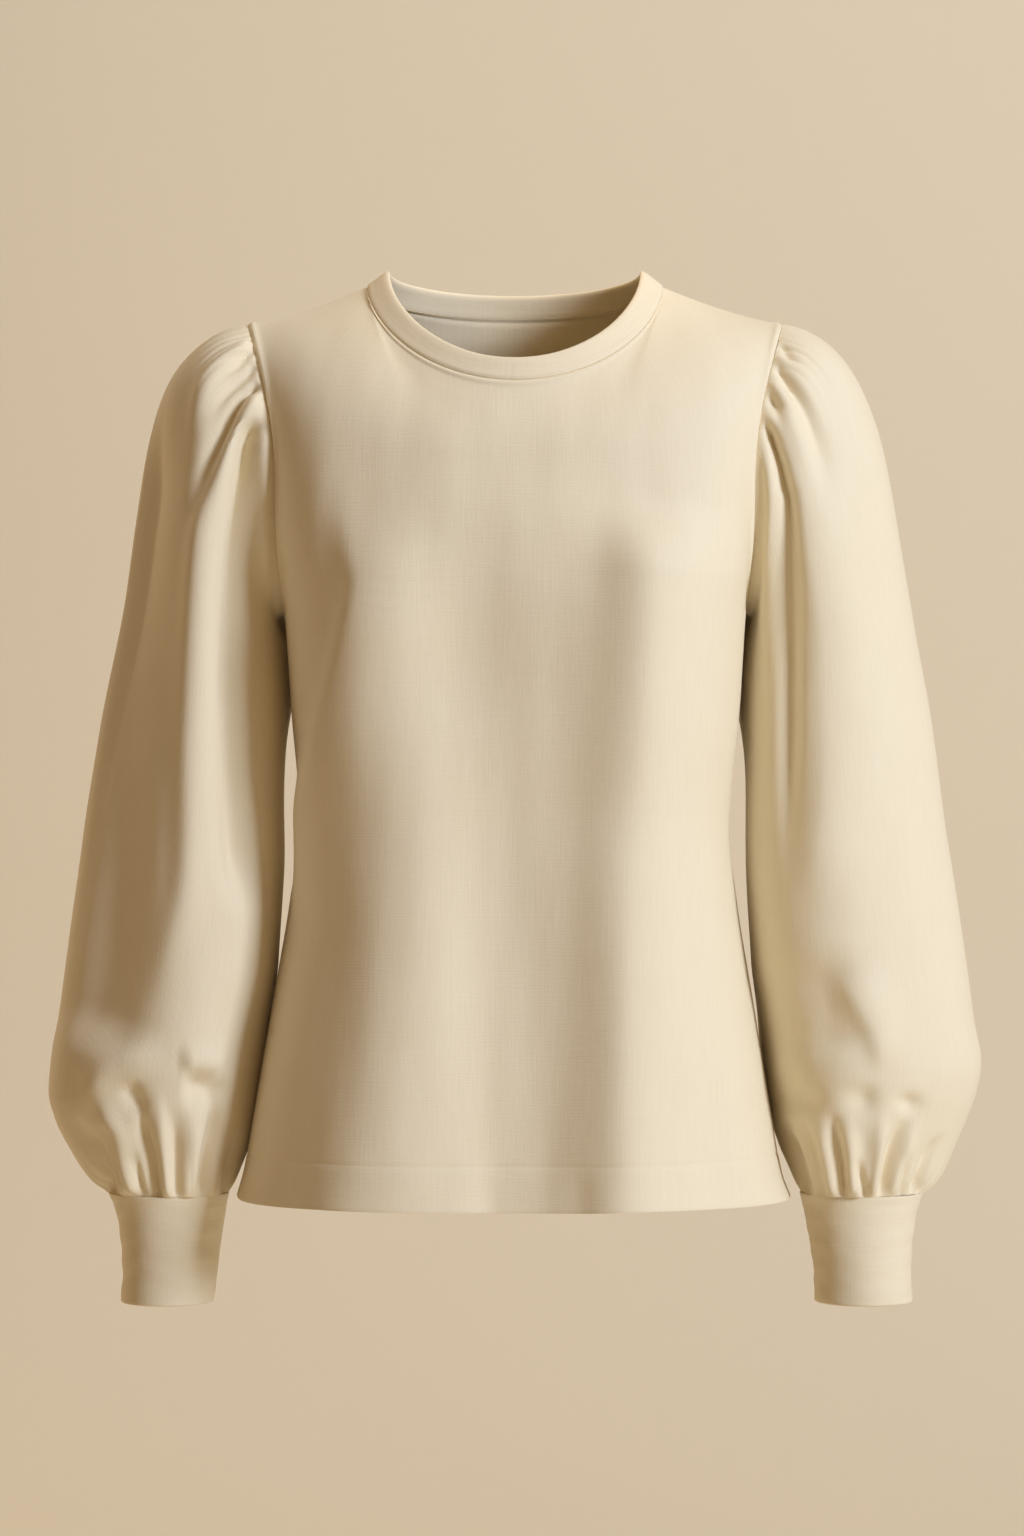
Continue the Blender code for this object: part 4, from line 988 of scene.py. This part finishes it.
def cloth(name):
    """Matt cream cloth: a fine weave, uneven yarns along the grain, and a soft sheen."""
    material, tree, shader = new_material(name)
    place = add_node(tree, "UVMap", uv_map="cloth").outputs["UV"]

    def scaled(repeats):
        mapped = {"Vector": place, "Scale": (*repeats, 1.0)}
        return add_node(tree, "Mapping", mapped).outputs["Vector"]

    def noise(repeats, detail, roughness):
        said = {"Scale": 1.0, "Detail": detail, "Roughness": roughness, "Vector": scaled(repeats)}
        return add_node(tree, "TexNoise", said).outputs["Fac"]

    def threads(direction):
        said = {"Scale": 1.0, "Distortion": 1.2, "Vector": scaled(WEAVE)}
        return add_node(tree, "TexWave", said, bands_direction=direction).outputs["Fac"]

    def ramp(source, low, high):
        node = add_node(tree, "ValToRGB", {"Fac": source})
        for stop, position, colour in zip(node.color_ramp.elements, (0.30, 0.72), (low, high)):
            stop.position, stop.color = position, colour
        return node.outputs["Color"]

    def added(first, second):
        return add_node(tree, "Math", {0: first, 1: second}, operation="ADD").outputs["Value"]

    yarns = noise(YARNS, 3.0, 0.6)
    mix = {
        "Factor": 1.0,
        "A": ramp(noise(CLOUD, 2.0, 0.5), CREAM_DEEP, CREAM),
        "B": ramp(yarns, YARN_TINT, WHITE),
    }
    tinted = add_node(tree, "Mix", mix, data_type="RGBA", blend_type="MULTIPLY")
    weave = {"Strength": 0.08, "Distance": 0.00022, "Height": added(threads("X"), threads("Y"))}
    woven = add_node(tree, "Bump", weave).outputs["Normal"]
    slub = {"Strength": 0.35, "Distance": 0.00035, "Normal": woven}
    slub["Height"] = added(yarns, noise(WEFT, 2.0, 0.5))
    fill(tree, shader, {
        "Base Color": tinted.outputs["Result"],
        "Normal": add_node(tree, "Bump", slub).outputs["Normal"],
        "Roughness": 0.78,
        "Specular IOR Level": 0.25,
        "Sheen Weight": 0.35,
        "Sheen Roughness": 0.45,
        "Sheen Tint": SHEEN_TINT,
    })
    return material


def wall_material():
    """Matt paint whose back is clear, so that a look from behind the wall meets the blouse."""
    paint = {"Base Color": BACKDROP, "Roughness": 0.95, "Specular IOR Level": 0.1}
    material, tree, shader = new_material("backdrop", paint)
    behind = add_node(tree, "NewGeometry").outputs["Backfacing"]
    clear = add_node(tree, "Math", {0: 1.0, 1: behind}, operation="SUBTRACT")
    fill(tree, shader, {"Alpha": clear.outputs["Value"]})
    return material


LAMPS = rows_of("name place target width depth watts colour",
    ("key", (3.00, -2.68, 1.05), (0.0, 0.0, -0.32), 1.0, 1.2, 146.0, (0.81, 0.91, 1.12)),
    ("rim", (-1.45, 1.15, -0.1), (-0.2, 0.0, -0.35), 0.5, 1.3, 6.0, (1.0, 0.80, 0.55)),
    ("wall_wash", (0.0, -0.2, 2.6), (0.0, 1.9, -0.4), 2.6, 0.8, 27.0, (0.97, 0.95, 0.90)),
    ("neck_fill", (0.02, -0.03, 0.12), (0.02, 0.062, -0.04), 0.12, 0.08, 0.09, (1.0, 0.78, 0.5)),
)

# The backdrop, the camera and its lens: metres, and millimetres for the lens.
FLOOR_Z, FLOOR_FRONT, WALL_Y, WALL_TOP, WALL_HALF = -1.15, -6.0, 1.9, 4.5, 5.0
BEND, BEND_STEPS = 0.7, 24
CAMERA_PLACE = (-0.00195, -3.0, -0.3224)
LENS, SENSOR = 108.17, 36.0


def linked(name, data):
    """An object in the scene."""
    made = bpy.data.objects.new(name, data)
    bpy.context.scene.collection.objects.link(made)
    return made


def area_light(lamp):
    """A soft rectangular light that points at its target."""
    data = bpy.data.lights.new(lamp.name, "AREA")
    data.shape = "RECTANGLE"
    data.size, data.size_y = lamp.width, lamp.depth
    data.energy, data.color = lamp.watts, lamp.colour
    light = linked(lamp.name, data)
    light.location = lamp.place
    aim = Vector(lamp.target) - Vector(lamp.place)
    light.rotation_euler = aim.to_track_quat("-Z", "Y").to_euler()


def backdrop():
    """A pale floor that sweeps up into a wall behind, well clear of the blouse."""
    turns = [pi / 2 * k / BEND_STEPS for k in range(BEND_STEPS + 1)]
    start_y, centre_z = WALL_Y - BEND, FLOOR_Z + BEND
    bend = [(start_y + BEND * np.sin(turn), centre_z - BEND * np.cos(turn)) for turn in turns]
    profile = [(FLOOR_FRONT, FLOOR_Z), *bend, (WALL_Y, WALL_TOP)]
    points = [(x, y, z) for y, z in profile for x in (-WALL_HALF, WALL_HALF)]
    faces = [(2 * k, 2 * k + 1, 2 * k + 3, 2 * k + 2) for k in range(len(profile) - 1)]
    mesh = bpy.data.meshes.new("backdrop")
    mesh.from_pydata(points, [], faces)
    mesh.shade_smooth()
    mesh.materials.append(wall_material())
    linked("backdrop", mesh)


def light_and_camera():
    """The studio's lights, the dim world round it, and the photo's view."""
    for lamp in LAMPS:
        area_light(lamp)
    scene = bpy.context.scene
    scene.world = bpy.data.worlds.new("studio")
    scene.world.use_nodes = True
    tree = scene.world.node_tree
    fill(tree, tree.nodes["Background"], {"Color": WORLD, "Strength": WORLD_STRENGTH})
    scene.view_settings.view_transform = "Standard"
    data = bpy.data.cameras.new("camera")
    data.sensor_width, data.sensor_fit = SENSOR, "AUTO"
    data.lens = LENS
    scene.camera = linked("camera", data)
    scene.camera.location = CAMERA_PLACE
    scene.camera.rotation_euler = (pi / 2, 0.0, 0.0)


# Cut sizes in metres: the widest and longest of each piece laid flat, and its flat area.
Cut = namedtuple("Cut", "width length area held")


def dress(made, node, material):
    """Puts a piece in place of its node."""
    made.data.materials.append(material)
    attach(made, "root")
    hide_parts(node)


def main():
    """Makes the pieces, each with a turn of its own that shifts its uneven swells."""
    cream = cloth("cream_cloth")
    dress(panel("front_cloth", True, FRONT_FOLDS, 0.4), "front", cream)
    dress(panel("back_cloth", False, BACK_FOLDS, 2.1), "back", cream)
    dress(neckband("neckband_cloth", 0.9), "neckband", cream)
    for side, turn in (("left", 1.2), ("right", 3.4)):
        for kind, make in (("sleeve", sleeve), ("cuff", cuff)):
            made = make(f"{kind}_{side}_cloth", side, turn)
            dress(made, f"{kind}_{side}", cream)
    backdrop()
    light_and_camera()


main()
